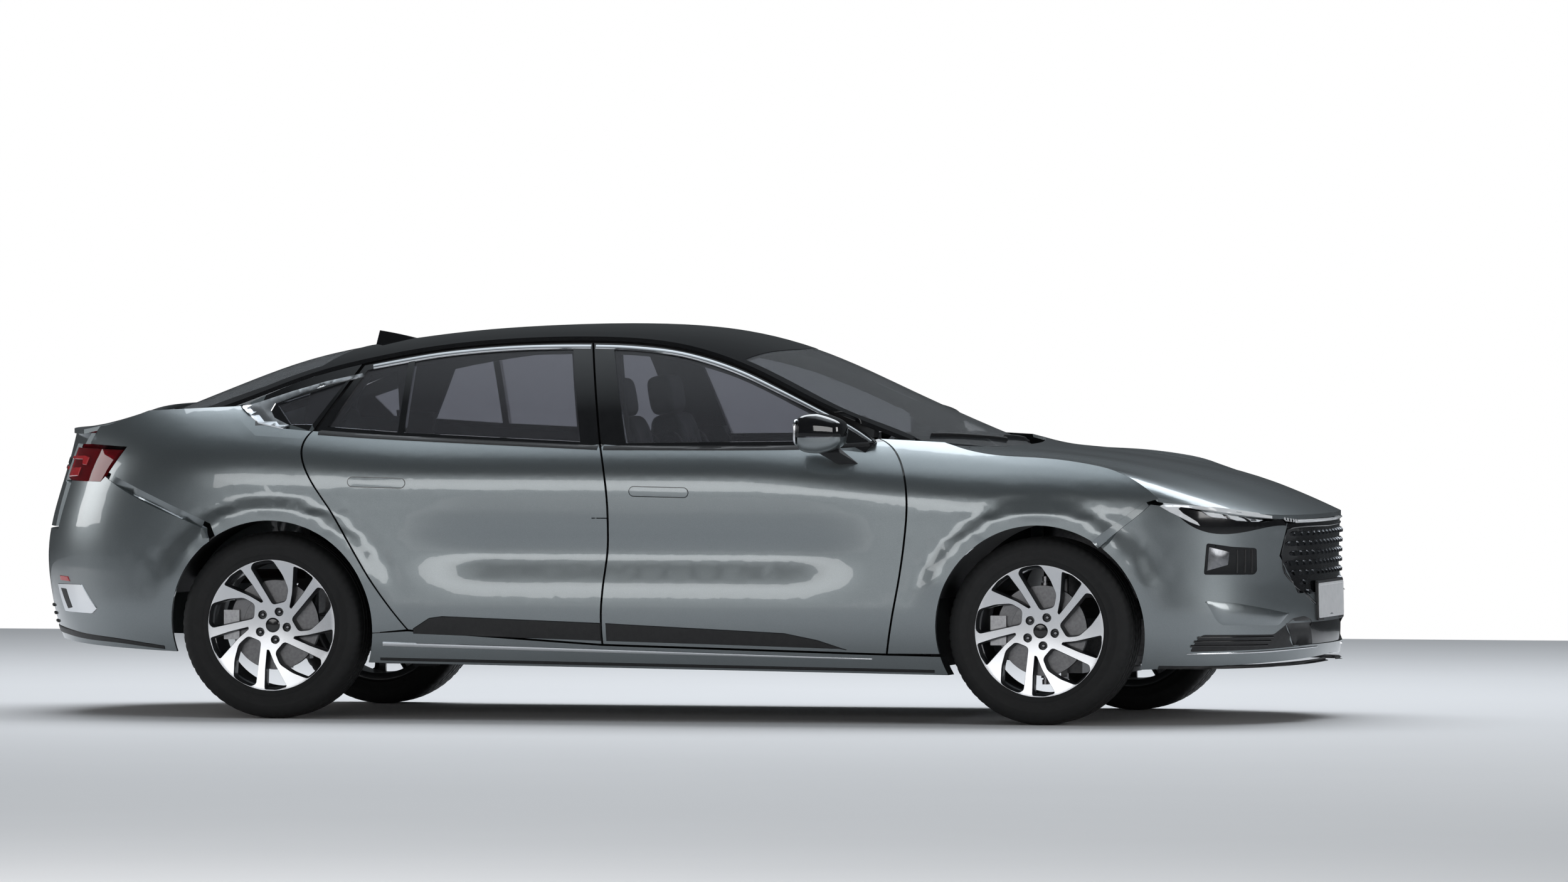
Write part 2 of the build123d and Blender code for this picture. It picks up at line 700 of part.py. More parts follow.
LID_REACH = 955
PLATE_HEIGHT = 830
PLATE_HOLES = 240
PLATE_HOLE = 3
LID_SIDE = 470
LID_FOOT = 500
LID_LOW = 706
LAMP_LOW = 880
LAMP_HIGH = 1004
tail_run = [
    (REAR_AXLE - LID_REACH * (1 - (abs(y) / HALF_WIDTH) ** PLAN_POWER) ** (1 / PLAN_POWER), y)
    for y in spread(-590, 590, 13)
]
lid_side = [(x, side(x, deck_edge(x)) - GAP) for x in spread(DECK_FRONT, -2160, 5)]
lid_edges = (
    [(x, -y) for x, y in lid_side], [tail_run[0]], tail_run[1:], [lid_side[-1]], lid_side[-2::-1],
)
with BuildPart() as lid_back:
    add(slab(tail_face, 0, 18, TAIL_INWARD))
    add(
        across(
            [(5, 1060), (-560, 1060)], [(-560, LAMP_HIGH + 14)], [(-LID_SIDE, LAMP_HIGH + 14)], [(-LID_SIDE, LAMP_LOW)],
            [(-LID_FOOT, LAMP_LOW - 10)], [(-LID_FOOT, LID_LOW)], [(5, LID_LOW)], start=-2600, length=700,
        ),
        mode=Mode.INTERSECT,
    )
    split(bisect_by=Plane.XZ, keep=Keep.TOP)
with BuildPart() as trunk_lid:
    add(slab(deck_face, 0, HOOD_THICKNESS, DOWN))
    add(upright(*lid_edges), mode=Mode.INTERSECT)
    add(both_sides(lid_back.part))
    lid_notches, lid_pins = panel_hinges(LID_HINGE, -1)
    add(lid_notches, mode=Mode.SUBTRACT)
    add(lid_pins)
    with Locations(*[Location((-2430, y, PLATE_HEIGHT), (0, 90, 0)) for y in (-PLATE_HOLES / 2, PLATE_HOLES / 2)]):
        Cylinder(PLATE_HOLE, 200, mode=Mode.SUBTRACT)
finish(trunk_lid.part, "trunk_lid")

# Front bumper, grille and headlamps, drawn as seen along the front corner's diagonal
nose_plane = Plane(origin=(0, 0, 0), x_dir=(DIAGONAL_Y, DIAGONAL_X, 0), z_dir=(DIAGONAL_X, -DIAGONAL_Y, 0))
tail_plane = Plane(origin=(0, 0, 0), x_dir=(DIAGONAL_Y, -DIAGONAL_X, 0), z_dir=(-DIAGONAL_X, -DIAGONAL_Y, 0))


def nose_point(y, z):
    """A point of the nose at half width y and height z, as seen along the diagonal."""
    x = FRONT_AXLE + nose_reach(z) * (1 - (y / HALF_WIDTH) ** PLAN_POWER) ** (1 / PLAN_POWER)
    return (DIAGONAL_Y * x - DIAGONAL_X * y, z)


def under_hood(y):
    """The line just under the hood's front edge, where lamps and bumper stop."""
    z = hood_lead(y / side(HOOD_CORNER, hood_edge(HOOD_CORNER))) - HOOD_THICKNESS - GAP
    return nose_point(y, z)


def corner_prism(plane, *edges):
    return prism(outline(plane, *edges), plane, 4000)


lamp_low = [(548, 812), (662, 722), (963, 734), (1060, 736)]


def grille_outline(top):
    return [(-440, top), (440, top)], [(505, 625)], [(385, 482)], [(-385, 482)], [(-505, 625)]


GRILLE_TOP = 744
intake_outline = ([(-470, 372), (470, 372)], [(415, 288)], [(-415, 288)])
pod = [(700, 560), (890, 545)], [(905, 452)], [(730, 425)]
with BuildPart() as bumper_half:
    add(slab(nose_face, 0, BUMPER_WALL, NOSE_INWARD))
    add(
        corner_prism(
            nose_plane, [(440, 205), (1500, 250)], [(1500, 746)], [(1064, 746)], lamp_low[::-1][0:1],
            lamp_low[-2::-1], [(486, 822)], [(380, 716)], [(300, 600)],
        ),
        mode=Mode.INTERSECT,
    )
    split(bisect_by=Plane.XZ, keep=Keep.TOP)
    add(front_well, mode=Mode.SUBTRACT)
with BuildPart() as front_bumper:
    add(both_sides(bumper_half.part))
    add(across(*grille_outline(GRILLE_TOP + 60), start=1900, length=700), mode=Mode.SUBTRACT)
    add(across(*intake_outline, start=1900, length=700), mode=Mode.SUBTRACT)
finish(front_bumper.part, "front_bumper")

with BuildPart() as lamp:
    add(slab(nose_face, 0, 14, NOSE_INWARD))
    add(
        corner_prism(
            nose_plane, [(x, z + SEAT_GAP) for x, z in lamp_low],
            [under_hood(y) for y in (480, 560, 680, 760, 810)], [(556, 818)],
        ),
        mode=Mode.INTERSECT,
    )
finish(both_sides(lamp.part), "headlamps")


def nose_insert(edges, depth, thickness):
    """A plate that fills an opening in the front bumper, set back from its face."""
    with BuildPart() as half:
        add(slab(nose_face, depth, thickness, NOSE_INWARD))
        split(bisect_by=Plane.XZ, keep=Keep.TOP)
    with BuildPart() as plate:
        add(both_sides(half.part))
        plane = Plane.YZ.offset(1900)
        shape = offset(outline(plane, *edges), amount=-SEAT_GAP, mode=Mode.PRIVATE)
        add(prism(shape, plane, 700), mode=Mode.INTERSECT)
    return plate.part


with BuildPart() as grille:
    add(nose_insert(grille_outline(GRILLE_TOP), 10, 12))
    add(nose_insert(intake_outline, 10, 12))
finish(grille.part, "grille")

# Rear bumper and tail lamps, drawn as seen along the rear corner's diagonal


def tail_point(y, z):
    """A point of the tail at half width y and height z, as seen along the diagonal."""
    x = REAR_AXLE - tail_reach(z) * (1 - (y / HALF_WIDTH) ** PLAN_POWER) ** (1 / PLAN_POWER)
    return (DIAGONAL_Y * x + DIAGONAL_X * y, z)


with BuildPart() as bumper_half:
    add(slab(tail_face, 0, BUMPER_WALL, TAIL_INWARD))
    add(
        corner_prism(
            tail_plane, [(-1500, 298), (-360, 246)], [(-240, 600)], [(-268, 714)], [(-656, 900)], [(-678, LAMP_LOW)],
            [tail_point(LID_FOOT + 60, LAMP_LOW)], [tail_point(LID_FOOT + 36, LID_LOW - 12)], [(-1500, LID_LOW - 12)],
        ),
        mode=Mode.INTERSECT,
    )
    split(bisect_by=Plane.XZ, keep=Keep.TOP)
    add(rear_well, mode=Mode.SUBTRACT)
finish(both_sides(bumper_half.part), "rear_bumper")
with BuildPart() as tail_lamp:
    add(slab(tail_face, 0, 14, TAIL_INWARD))
    add(
        corner_prism(
            tail_plane, [(-678, LAMP_LOW + SEAT_GAP), tail_point(LID_FOOT + 60, LAMP_LOW + SEAT_GAP)],
            [tail_point(LID_SIDE + 36, LAMP_LOW + 12)], [tail_point(LID_SIDE + 36, LAMP_HIGH)], [(-614, LAMP_HIGH - 3)],
        ),
        mode=Mode.INTERSECT,
    )
finish(both_sides(tail_lamp.part), "tail_lamps")

# Inner frames that the doors close onto: lower walls, pillars and roof rails
frame_start = DOOR_THICKNESS + FRAME_GAP
frame_inner = frame_start + FRAME_WALL
POST_DEPTH = 131
POST_WALL = 40
POST_FOOT = 224
BELT_LEDGE = 20
with BuildPart() as upper_frame:
    add(slab(cabin_side_face, DOOR_FRAME + 8, 28, INWARD))
    add(
        side_outline(
            [(x, rail_height(x) - 8) for x in spread(-1310, 760, 12)], [(884, belt(884) + BELT_LEDGE + 6)],
            [(x, belt(x) + BELT_LEDGE + 6) for x in spread(500, -1329, 6)],
        ),
        mode=Mode.INTERSECT,
    )
with BuildPart() as belt_ledge:
    add(slab(cabin_side_face, DOOR_FRAME + 8, 84, INWARD))
    add(
        side_outline(
            [(x, belt(x) + BELT_LEDGE) for x in spread(-1325, 880, 7)],
            [(x, belt(x) + BELT_LEDGE + 24) for x in spread(880, -1325, 7)],
        ),
        mode=Mode.INTERSECT,
    )
with BuildPart() as front_post:
    add(slab(frame_face, POST_DEPTH, POST_WALL, INWARD))
    add(side_outline([(872, POST_FOOT), (1060, POST_FOOT)], [(1060, 940)], [(872, 940)]), mode=Mode.INTERSECT)
with BuildPart() as post_root:
    add(slab(frame_face, frame_start, POST_DEPTH + POST_WALL - frame_start, INWARD))
    add(side_outline([(872, POST_FOOT), (930, POST_FOOT)], [(930, 940)], [(872, 940)]), mode=Mode.INTERSECT)
# Hollows in the frame that let the doors' leading edges swing past: (hinge, front limit, radius, bottom, top)
SWING_HOLLOWS = (
    (FRONT_HINGE_X, FRONT_HINGE_X - 15, 113, 400, 862),
    (FRONT_HINGE_X, FRONT_HINGE_X - 15, 131, 862, 970),
    (REAR_HINGE_X, REAR_HINGE_X + 200, 88, 600, 762),
    (REAR_HINGE_X, REAR_HINGE_X + 200, 78, 818, 905),
)
with BuildPart() as swing_hollows:
    for hinge, limit, radius, bottom, top in SWING_HOLLOWS:
        with BuildSketch(Plane.XY.offset(bottom)):
            with Locations((hinge, HINGE_DEPTH - HALF_WIDTH)):
                Circle(radius)
            with Locations((limit, HINGE_DEPTH - HALF_WIDTH)):
                Rectangle(400, 400, align=(Align.MAX, Align.CENTER), mode=Mode.INTERSECT)
        extrude(amount=top - bottom)
with BuildPart() as side_frame:
    add(slab(frame_face, frame_start, FRAME_WALL, INWARD))
    add(
        side_outline(
            [(x, belt(x) + BELT_LEDGE + 15) for x in spread(-1321, 876, 7)], [(926, 960)], [(926, POST_FOOT)],
            [(-1000, POST_FOOT)], [(-1321, 700)],
        ),
        mode=Mode.INTERSECT,
    )
    add(slab(cabin_side_face, -80, 80 + DOOR_FRAME + FRAME_GAP - 6, INWARD), mode=Mode.SUBTRACT)
    add(upper_frame.part)
    add(belt_ledge.part)
    add(
        side_outline(
            [(x, door_top(x) - 42) for x in spread(-130, 640, 6)], [(800, 1050)], [(862, 940)], [(872, 700)],
            [(840, 330)], [(-30, 340)], [(-40, 1020)],
        ),
        mode=Mode.SUBTRACT,
    )
    add(
        side_outline(
            [(x, door_top(x) - 42) for x in spread(-1090, -320, 6)], [(-240, 1020)], [(-200, 760)], [(-200, 345)],
            [(-830, 370)], [(-1160, 860)], [(-1215, 1050)],
        ),
        mode=Mode.SUBTRACT,
    )
    add(front_post.part)
    add(post_root.part)
    add(swing_hollows.part, mode=Mode.SUBTRACT)
    add(rear_liner_room, mode=Mode.SUBTRACT)
    add(slab(cabin_top_face, -300, 300 + ROOF_THICKNESS + 2, DOWN), mode=Mode.SUBTRACT)
finish(both_sides(side_frame.part), "side_frames")


def hinge_leaf(x, root):
    """The fixed half of a right-hand door hinge: an eye round the pin and an arm to the pillar."""
    y = HINGE_DEPTH - HALF_WIDTH
    with BuildPart() as leaf:
        for z in HINGE_HEIGHTS:
            with BuildSketch(Plane.XY.offset(z - HINGE_LEAF / 2)):
                with Locations((x, y)):
                    Circle(HINGE_EYE)
                with Locations((x, (y - root) / 2)):
                    Rectangle(12, -root - y)
                with Locations((x, y)):
                    Circle(HINGE_PIN + HINGE_PLAY, mode=Mode.SUBTRACT)
            extrude(amount=HINGE_LEAF)
    return leaf.part


with BuildPart() as hinges:
    add(hinge_leaf(FRONT_HINGE_X, HALF_WIDTH - POST_DEPTH + SEAT_GAP))
    add(hinge_leaf(REAR_HINGE_X, HALF_WIDTH - frame_start + SEAT_GAP))
    mirror(about=Plane.XZ)
finish(hinges.part, "door_hinges")

# Floor, bulkheads, rails and bumper beams
FLOOR_LOW = 205
FLOOR_WALL = 18
REAR_FLOOR = 500
FIREWALL_X = 1085
REAR_WALL_X = -1345
SHELF_HEIGHT = 1030
SHELF_WALL = 14
SHELF_REAR = -1950
RAIL_Y = 430
JACK_X = (860, -860)
JACK_Y = 690
JACK_PAD = 10
with BuildPart() as inside_frames:
    add(slab(side_face, frame_inner + SEAT_GAP, FAR, INWARD))
with BuildPart() as inside_skins:
    add(slab(side_face, PANEL + SEAT_GAP, FAR, INWARD))
with BuildPart() as floor_half:
    with Locations((-1000, -880, FLOOR_LOW)):
        Box(FIREWALL_X + 1000, 880, FLOOR_WALL, align=(Align.MIN, Align.MIN, Align.MIN))
    with Locations((FIREWALL_X, -760, FLOOR_LOW)):
        Box(FLOOR_WALL, 760, 150, align=(Align.MIN, Align.MIN, Align.MIN))
    with Locations((-1018, -740, FLOOR_LOW)):
        Box(FLOOR_WALL, 740, REAR_FLOOR - FLOOR_LOW, align=(Align.MIN, Align.MIN, Align.MIN))
    add(inside_frames.part, mode=Mode.INTERSECT)
with BuildPart() as walls_half:
    with Locations((FIREWALL_X, -900, 345)):
        Box(FLOOR_WALL, 900, 610, align=(Align.MIN, Align.MIN, Align.MIN))
    with Locations((REAR_WALL_X, -900, REAR_FLOOR)):
        Box(FLOOR_WALL, 900, SHELF_HEIGHT - REAR_FLOOR, align=(Align.MIN, Align.MIN, Align.MIN))
    with Locations((SHELF_REAR, -620, SHELF_HEIGHT)):
        Box(REAR_WALL_X + FLOOR_WALL - SHELF_REAR, 620, SHELF_WALL, align=(Align.MIN, Align.MIN, Align.MIN))
    with Locations((-1760, -780, REAR_FLOOR)):
        Box(1760 - 1000, 780, FLOOR_WALL, align=(Align.MIN, Align.MIN, Align.MIN))
    with Locations((-2250, -540, REAR_FLOOR)):
        Box(2250 - 1700, 540, FLOOR_WALL, align=(Align.MIN, Align.MIN, Align.MIN))
    add(inside_skins.part, mode=Mode.INTERSECT)
with BuildPart() as beams_half:
    add(slab(nose_face, BUMPER_WALL + SEAT_GAP, 40, NOSE_INWARD))
    add(across([(-560, 395), (0, 395)], [(0, 465)], [(-560, 465)], start=1900, length=700), mode=Mode.INTERSECT)
with BuildPart() as tail_beam:
    add(slab(tail_face, BUMPER_WALL + SEAT_GAP, 40, TAIL_INWARD))
    add(across([(-560, 460), (0, 460)], [(0, 530)], [(-560, 530)], start=-2600, length=700), mode=Mode.INTERSECT)
with BuildPart() as floor_pan:
    add(floor_half.part)
    add(walls_half.part)
    add(beams_half.part)
    add(tail_beam.part)
    with Locations((FIREWALL_X + 2, -RAIL_Y - 30, 385)):
        Box(1275, 60, 75, align=(Align.MIN, Align.MIN, Align.MIN))
    with Locations((2190, -RAIL_Y - 120, 250)):
        Box(14, RAIL_Y + 120, 450, align=(Align.MIN, Align.MIN, Align.MIN))
    with Locations((-2340, -RAIL_Y - 30, 470)):
        Box(500, 60, 40, align=(Align.MIN, Align.MIN, Align.MIN))
    with Locations(*[(x, -JACK_Y, FLOOR_LOW - JACK_PAD) for x in JACK_X]):
        Box(90, 60, JACK_PAD + 6, align=(Align.CENTER, Align.CENTER, Align.MIN))
    add(front_liner_room, mode=Mode.SUBTRACT)
    add(rear_liner_room, mode=Mode.SUBTRACT)
    mirror(about=Plane.XZ)
finish(floor_pan.part, "floor_pan")

# Wheel-arch liners
def liner(axle, inside, sweep):
    """Half-round shell over one right-hand wheel, ending just behind the body side."""
    with BuildPart() as shell:
        with BuildSketch(Plane.XZ.offset(inside)):
            with Locations((axle, TYRE_RADIUS)):
                Circle(ARCH_RADIUS + 1 + LINER)
                Circle(ARCH_RADIUS + 1, mode=Mode.SUBTRACT)
                with Locations((0, -ARCH_RADIUS - 1 + sweep)):
                    Rectangle(3 * ARCH_RADIUS, 2 * ARCH_RADIUS, mode=Mode.SUBTRACT)
        extrude(amount=FAR)
        add(inside_skins.part, mode=Mode.INTERSECT)
        add(slab(nose_face, 0, BUMPER_WALL + 10, NOSE_INWARD), mode=Mode.SUBTRACT)
        add(slab(tail_face, 0, BUMPER_WALL + 10, TAIL_INWARD), mode=Mode.SUBTRACT)
    return shell.part


with BuildPart() as liners:
    add(liner(FRONT_AXLE, FRONT_WELL + 20, 120))
    add(liner(REAR_AXLE, REAR_WELL, 120))
    mirror(about=Plane.XZ)
finish(liners.part, "wheel_liners")

# Cowl under the windscreen's foot
with BuildPart() as cowl:
    add(slab(cabin_top_face, 2 + GLASS + SEAT_GAP, 12, DOWN))
    add(
        upright(
            [(1020, -700), (1160, -440), (1255, -200), (1280, 0), (1255, 200), (1160, 440), (1020, 700)],
            [(1160, 735)], [(1270, 420), (1345, 0), (1270, -420)], [(1160, -735)],
        ),
        mode=Mode.INTERSECT,
    )
finish(cowl.part, "cowl")

# Engine, as one plain block on the front cross member
BEAM_TOP = 240
with BuildPart() as engine:
    with Locations((FRONT_AXLE + 150, 0, BEAM_TOP + SEAT_GAP)):
        Box(560, 620, 540, align=(Align.CENTER, Align.CENTER, Align.MIN))
    fillet(engine.edges().filter_by(Axis.Z), 60)
finish(engine.part, "engine")

# Dashboard with the steering column, steering wheel, seats
COLUMN_Y = 370
COLUMN_FOOT = (800, 810)
COLUMN_TILT = 24
with BuildPart() as dashboard:
    with BuildSketch(Plane.XZ):
        with BuildLine():
            Polyline((FIREWALL_X - SEAT_GAP, 560), (FIREWALL_X - SEAT_GAP, 930), (980, 955))
            Spline((980, 955), (850, 950), (780, 900), (770, 800), (820, 700), (880, 640))
            Polyline((880, 640), (940, 560), (FIREWALL_X - SEAT_GAP, 560))
        make_face()
    extrude(amount=690, both=True)
    with Locations(Location((COLUMN_FOOT[0], COLUMN_Y, COLUMN_FOOT[1]), (0, -90 + COLUMN_TILT, 0))):
        Cylinder(32, 150, align=(Align.CENTER, Align.CENTER, Align.MIN))
        Cylinder(12, 196, align=(Align.CENTER, Align.CENTER, Align.MIN))
finish(dashboard.part, "dashboard")
with BuildPart() as steering_wheel:
    Torus(176, 14)
    Cylinder(52, 34)
    Box(344, 46, 12)
    with Locations((-86, 0, 0)):
        Box(172, 40, 10)
    Cylinder(12 + SPINDLE_PLAY, 60, mode=Mode.SUBTRACT)
wheel_place = Location((COLUMN_FOOT[0], COLUMN_Y, COLUMN_FOOT[1]), (0, -90 + COLUMN_TILT, 0)) * Location((0, 0, 178))
finish(steering_wheel.part.moved(wheel_place), "steering_wheel")

SEAT_FLOOR = FLOOR_LOW + FLOOR_WALL + SEAT_GAP


def seat_shape(width, back_top, x, y):
    """A plain seat in side profile: base, cushion and raked back in one."""
    with BuildPart() as seat:
        with BuildSketch(Plane.XZ.offset(-y)) as profile:
            with BuildLine():
                Polyline(
                    (x + 250, SEAT_FLOOR), (x + 270, 440), (x + 250, 510), (x - 150, 470), (x - 350, back_top),
                    (x - 440, back_top), (x - 330, 430), (x - 260, SEAT_FLOOR), close=True,
                )
            make_face()
            fillet(profile.vertices().sort_by(Axis.Y)[2:], 26)
        extrude(amount=width / 2, both=True)
    return seat.part


with BuildPart() as front_seats:
    for y in (-COLUMN_Y, COLUMN_Y):
        add(seat_shape(500, 1090, 180, y))
        with Locations(Location((-205, y, 1080), (0, -14, 0))):
            Box(70, 260, 190, align=(Align.CENTER, Align.CENTER, Align.MIN))
finish(front_seats.part, "front_seats")
BENCH_FLOOR = REAR_FLOOR + FLOOR_WALL + SEAT_GAP
with BuildPart() as rear_bench:
    with BuildSketch(Plane.XZ) as profile:
        with BuildLine():
            Polyline(
                (-640, SEAT_FLOOR), (-630, 500), (-650, 545), (-1090, 530), (-1230, 1015), (-1320, 1015),
                (-1322, BENCH_FLOOR), (-996, BENCH_FLOOR), (-996, SEAT_FLOOR), close=True,
            )
        make_face()
        fillet(profile.vertices().sort_by(Axis.Y)[-4:], 20)
    extrude(amount=600, both=True)
finish(rear_bench.part, "rear_bench")

# Wheels: axis across the car, drawn about the origin with the outside towards -Y
WHEEL_Y = TRACK / 2
with BuildPart() as tyre:
    with BuildSketch(Plane.XY) as profile:
        with BuildLine():
            half = TYRE_WIDTH / 2
            Polyline((RIM_SEAT + SEAT_GAP, -102), (RIM_FLANGE + 4, -102))
            ThreePointArc((RIM_FLANGE + 4, -102), (300, -half), (334, -half + 12))
            ThreePointArc((334, -half + 12), (345, -half + 26), (TYRE_RADIUS - 1.5, -half + 44))
            ThreePointArc((TYRE_RADIUS - 1.5, -half + 44), (TYRE_RADIUS, 0), (TYRE_RADIUS - 1.5, half - 44))
            ThreePointArc((TYRE_RADIUS - 1.5, half - 44), (345, half - 26), (334, half - 12))
            ThreePointArc((334, half - 12), (300, half), (RIM_FLANGE + 4, 102))
            Polyline((RIM_FLANGE + 4, 102), (RIM_SEAT + SEAT_GAP, 102), (RIM_SEAT + SEAT_GAP, -102))
        make_face()
    revolve(axis=Axis.Y)

SPOKE_PAIRS = 5
SPOKE_ROOT = 13
SPOKE_TIP = 16
SPOKE_SWIRL = 9
with BuildPart() as dish:
    with BuildSketch(Plane.XY):
        with BuildLine():
            Spline((0, -80), (60, -82), (150, -96), (RIM_SEAT, -105))
            Polyline((RIM_SEAT, -105), (RIM_SEAT, -76), (140, -72), (100, -66), (HUB_RADIUS, -HUB_FACE))
            Polyline((HUB_RADIUS, -HUB_FACE), (0, -HUB_FACE), (0, -80))
        make_face()
    revolve(axis=Axis.Y)
with BuildPart() as spokes:
    with BuildSketch(Plane.XZ):
        Circle(HUB_RADIUS)
        for i in range(SPOKE_PAIRS):
            for lean in (-1, 1):
                root = radians(90 + 360 / SPOKE_PAIRS * i + 14 * lean)
                tip = root + radians(SPOKE_SWIRL + 3 * lean)
                with BuildLine():
                    Polyline(
                        (50 * cos(root) - SPOKE_ROOT * sin(root), 50 * sin(root) + SPOKE_ROOT * cos(root)),
                        (236 * cos(tip) - SPOKE_TIP * sin(tip), 236 * sin(tip) + SPOKE_TIP * cos(tip)),
                        (236 * cos(tip) + SPOKE_TIP * sin(tip), 236 * sin(tip) - SPOKE_TIP * cos(tip)),
                        (50 * cos(root) + SPOKE_ROOT * sin(root), 50 * sin(root) - SPOKE_ROOT * cos(root)),
                        close=True,
                    )
                make_face()
    extrude(amount=200)
    add(dish.part, mode=Mode.INTERSECT)
with BuildPart() as rim:
    with BuildSketch(Plane.XY):
        with BuildLine():
            Polyline(
                (RIM_INSIDE, -RIM_HALF_WIDTH), (RIM_FLANGE, -RIM_HALF_WIDTH), (RIM_FLANGE, -103), (RIM_SEAT, -103),
                (RIM_SEAT, 103), (RIM_FLANGE, 103), (RIM_FLANGE, RIM_HALF_WIDTH), (RIM_INSIDE, RIM_HALF_WIDTH),
                close=True,
            )
        make_face()
    revolve(axis=Axis.Y)
    add(spokes.part)
    with Locations(Location((0, 0, 0), (90, 0, 0))):
        Cylinder(SPINDLE + SPINDLE_PLAY, 180, mode=Mode.SUBTRACT)
    with BuildSketch(Plane.XZ.offset(HUB_FACE)):
        with PolarLocations(57, 5, start_angle=90):
            Circle(11)
    extrude(amount=100, mode=Mode.SUBTRACT)
with BuildPart() as disc:
    with BuildSketch(Plane.XY):
        with BuildLine():
            Polyline(
                (SPINDLE + SPINDLE_PLAY, SEAT_GAP - HUB_FACE), (DISC_RADIUS, SEAT_GAP - HUB_FACE),
                (DISC_RADIUS, -DISC_IN), (HUB_RADIUS, -DISC_IN), (HUB_RADIUS, -36), (SPINDLE + SPINDLE_PLAY, -36),
                close=True,
            )
        make_face()
    revolve(axis=Axis.Y)

for label, axle in (("front", FRONT_AXLE), ("rear", REAR_AXLE)):
    for piece, node in ((tyre, "tyre"), (rim, "rim"), (disc, "brake_disc")):
        right = piece.part.moved(Location((axle, -WHEEL_Y, TYRE_RADIUS)))
        finish(right, f"{node}_{label}_right")
        finish(mirror(right, about=Plane.XZ), f"{node}_{label}_left")

CARRIER_IN = 62
CARRIER_WALL = 44
CALIPER_X = -166


def hub_carrier():
    """Spindle, carrier and brake caliper of one wheel, drawn like the wheel about the origin."""
    with BuildPart() as carrier:
        with Locations((0, CARRIER_IN, 0)):
            Box(70, CARRIER_WALL, 2 * EAR_HEIGHT)
        with Locations(Location((0, CARRIER_IN, 0), (90, 0, 0))):
            Cylinder(SPINDLE, CARRIER_IN + 76, align=(Align.CENTER, Align.CENTER, Align.MIN))
        with Locations((CALIPER_X, 0, 0)):
            Box(60, 124, 110)
        with Locations((CALIPER_X / 2, CARRIER_IN, 0)):
            Box(-CALIPER_X, 24, 50)
        slot = HUB_FACE - DISC_IN + 2 * BRAKE_GAP
        with Locations((CALIPER_X + 20, BRAKE_GAP - DISC_IN, 0)):
            Box(60, slot, 200, align=(Align.CENTER, Align.MAX, Align.CENTER), mode=Mode.SUBTRACT)
    return carrier.part


# Front knuckles turn on two king pins in the plane of the wheel
with BuildPart() as knuckle:
    add(hub_carrier())
    for z in (-EAR_HEIGHT, EAR_HEIGHT):
        with BuildSketch(Plane.XY.offset(z - 12)):
            Circle(EAR_RADIUS)
            with Locations((0, CARRIER_IN / 2)):
                Rectangle(2 * EAR_RADIUS, CARRIER_IN)
            Circle(KINGPIN + KINGPIN_PLAY, mode=Mode.SUBTRACT)
        extrude(amount=24)
front_right = Location((FRONT_AXLE, -WHEEL_Y, TYRE_RADIUS))
rear_right = Location((REAR_AXLE, -WHEEL_Y, TYRE_RADIUS))
finish(knuckle.part.moved(front_right), "knuckle_right")
finish(mirror(knuckle.part.moved(front_right), about=Plane.XZ), "knuckle_left")

# Front cross member with its posts, arms and king pins
POST_Y = RAIL_Y + 30 + SEAT_GAP
ARM_Z = EAR_HEIGHT + 12 + ARM_GAP + ARM_HEIGHT / 2
with BuildPart() as front_suspension:
    with Locations((FRONT_AXLE, -POST_Y - 12, TYRE_RADIUS)):
        Box(ARM_WIDTH, 24, 2 * ARM_Z + ARM_HEIGHT)
    for z in (-1, 1):
        with Locations((FRONT_AXLE, -(WHEEL_Y + POST_Y) / 2, TYRE_RADIUS + z * ARM_Z)):
            Box(ARM_WIDTH, WHEEL_Y - POST_Y, ARM_HEIGHT)
        with Locations((FRONT_AXLE, -WHEEL_Y, TYRE_RADIUS + z * ARM_Z)):
            Cylinder(ARM_WIDTH / 2, ARM_HEIGHT)
        with Locations((FRONT_AXLE, -WHEEL_Y, TYRE_RADIUS + z * EAR_HEIGHT)):
            Cylinder(KINGPIN, 2 * (ARM_Z - EAR_HEIGHT))
    mirror(about=Plane.XZ)
    with Locations((FRONT_AXLE, 0, BEAM_TOP)):
        Box(130, 2 * POST_Y + 2, 60, align=(Align.CENTER, Align.CENTER, Align.MAX))
finish(front_suspension.part, "front_suspension")

# Rear subframe with its arms and hub carriers
with BuildPart() as rear_axle:
    add(hub_carrier().moved(rear_right))
    for x in (-120, 120):
        with Locations((REAR_AXLE + x, -400, 300)):
            Box(70, 70, REAR_FLOOR - SEAT_GAP - 300, align=(Align.CENTER, Align.CENTER, Align.MIN))
    with Locations((REAR_AXLE, -400, 340)):
        Box(310, 70, 60)
    for z in (-110, 40):
        with Locations((REAR_AXLE, -400, TYRE_RADIUS + z)):
            Box(44, WHEEL_Y - CARRIER_IN - 400, 34, align=(Align.CENTER, Align.MAX, Align.CENTER))
    with Locations((REAR_AXLE, -400, TYRE_RADIUS - 60)):
        Box(44, 50, 160)
    mirror(about=Plane.XZ)
    for x in (-120, 120):
        with Locations((REAR_AXLE + x, 0, 330)):
            Box(60, 780, 50)
finish(rear_axle.part, "rear_axle")

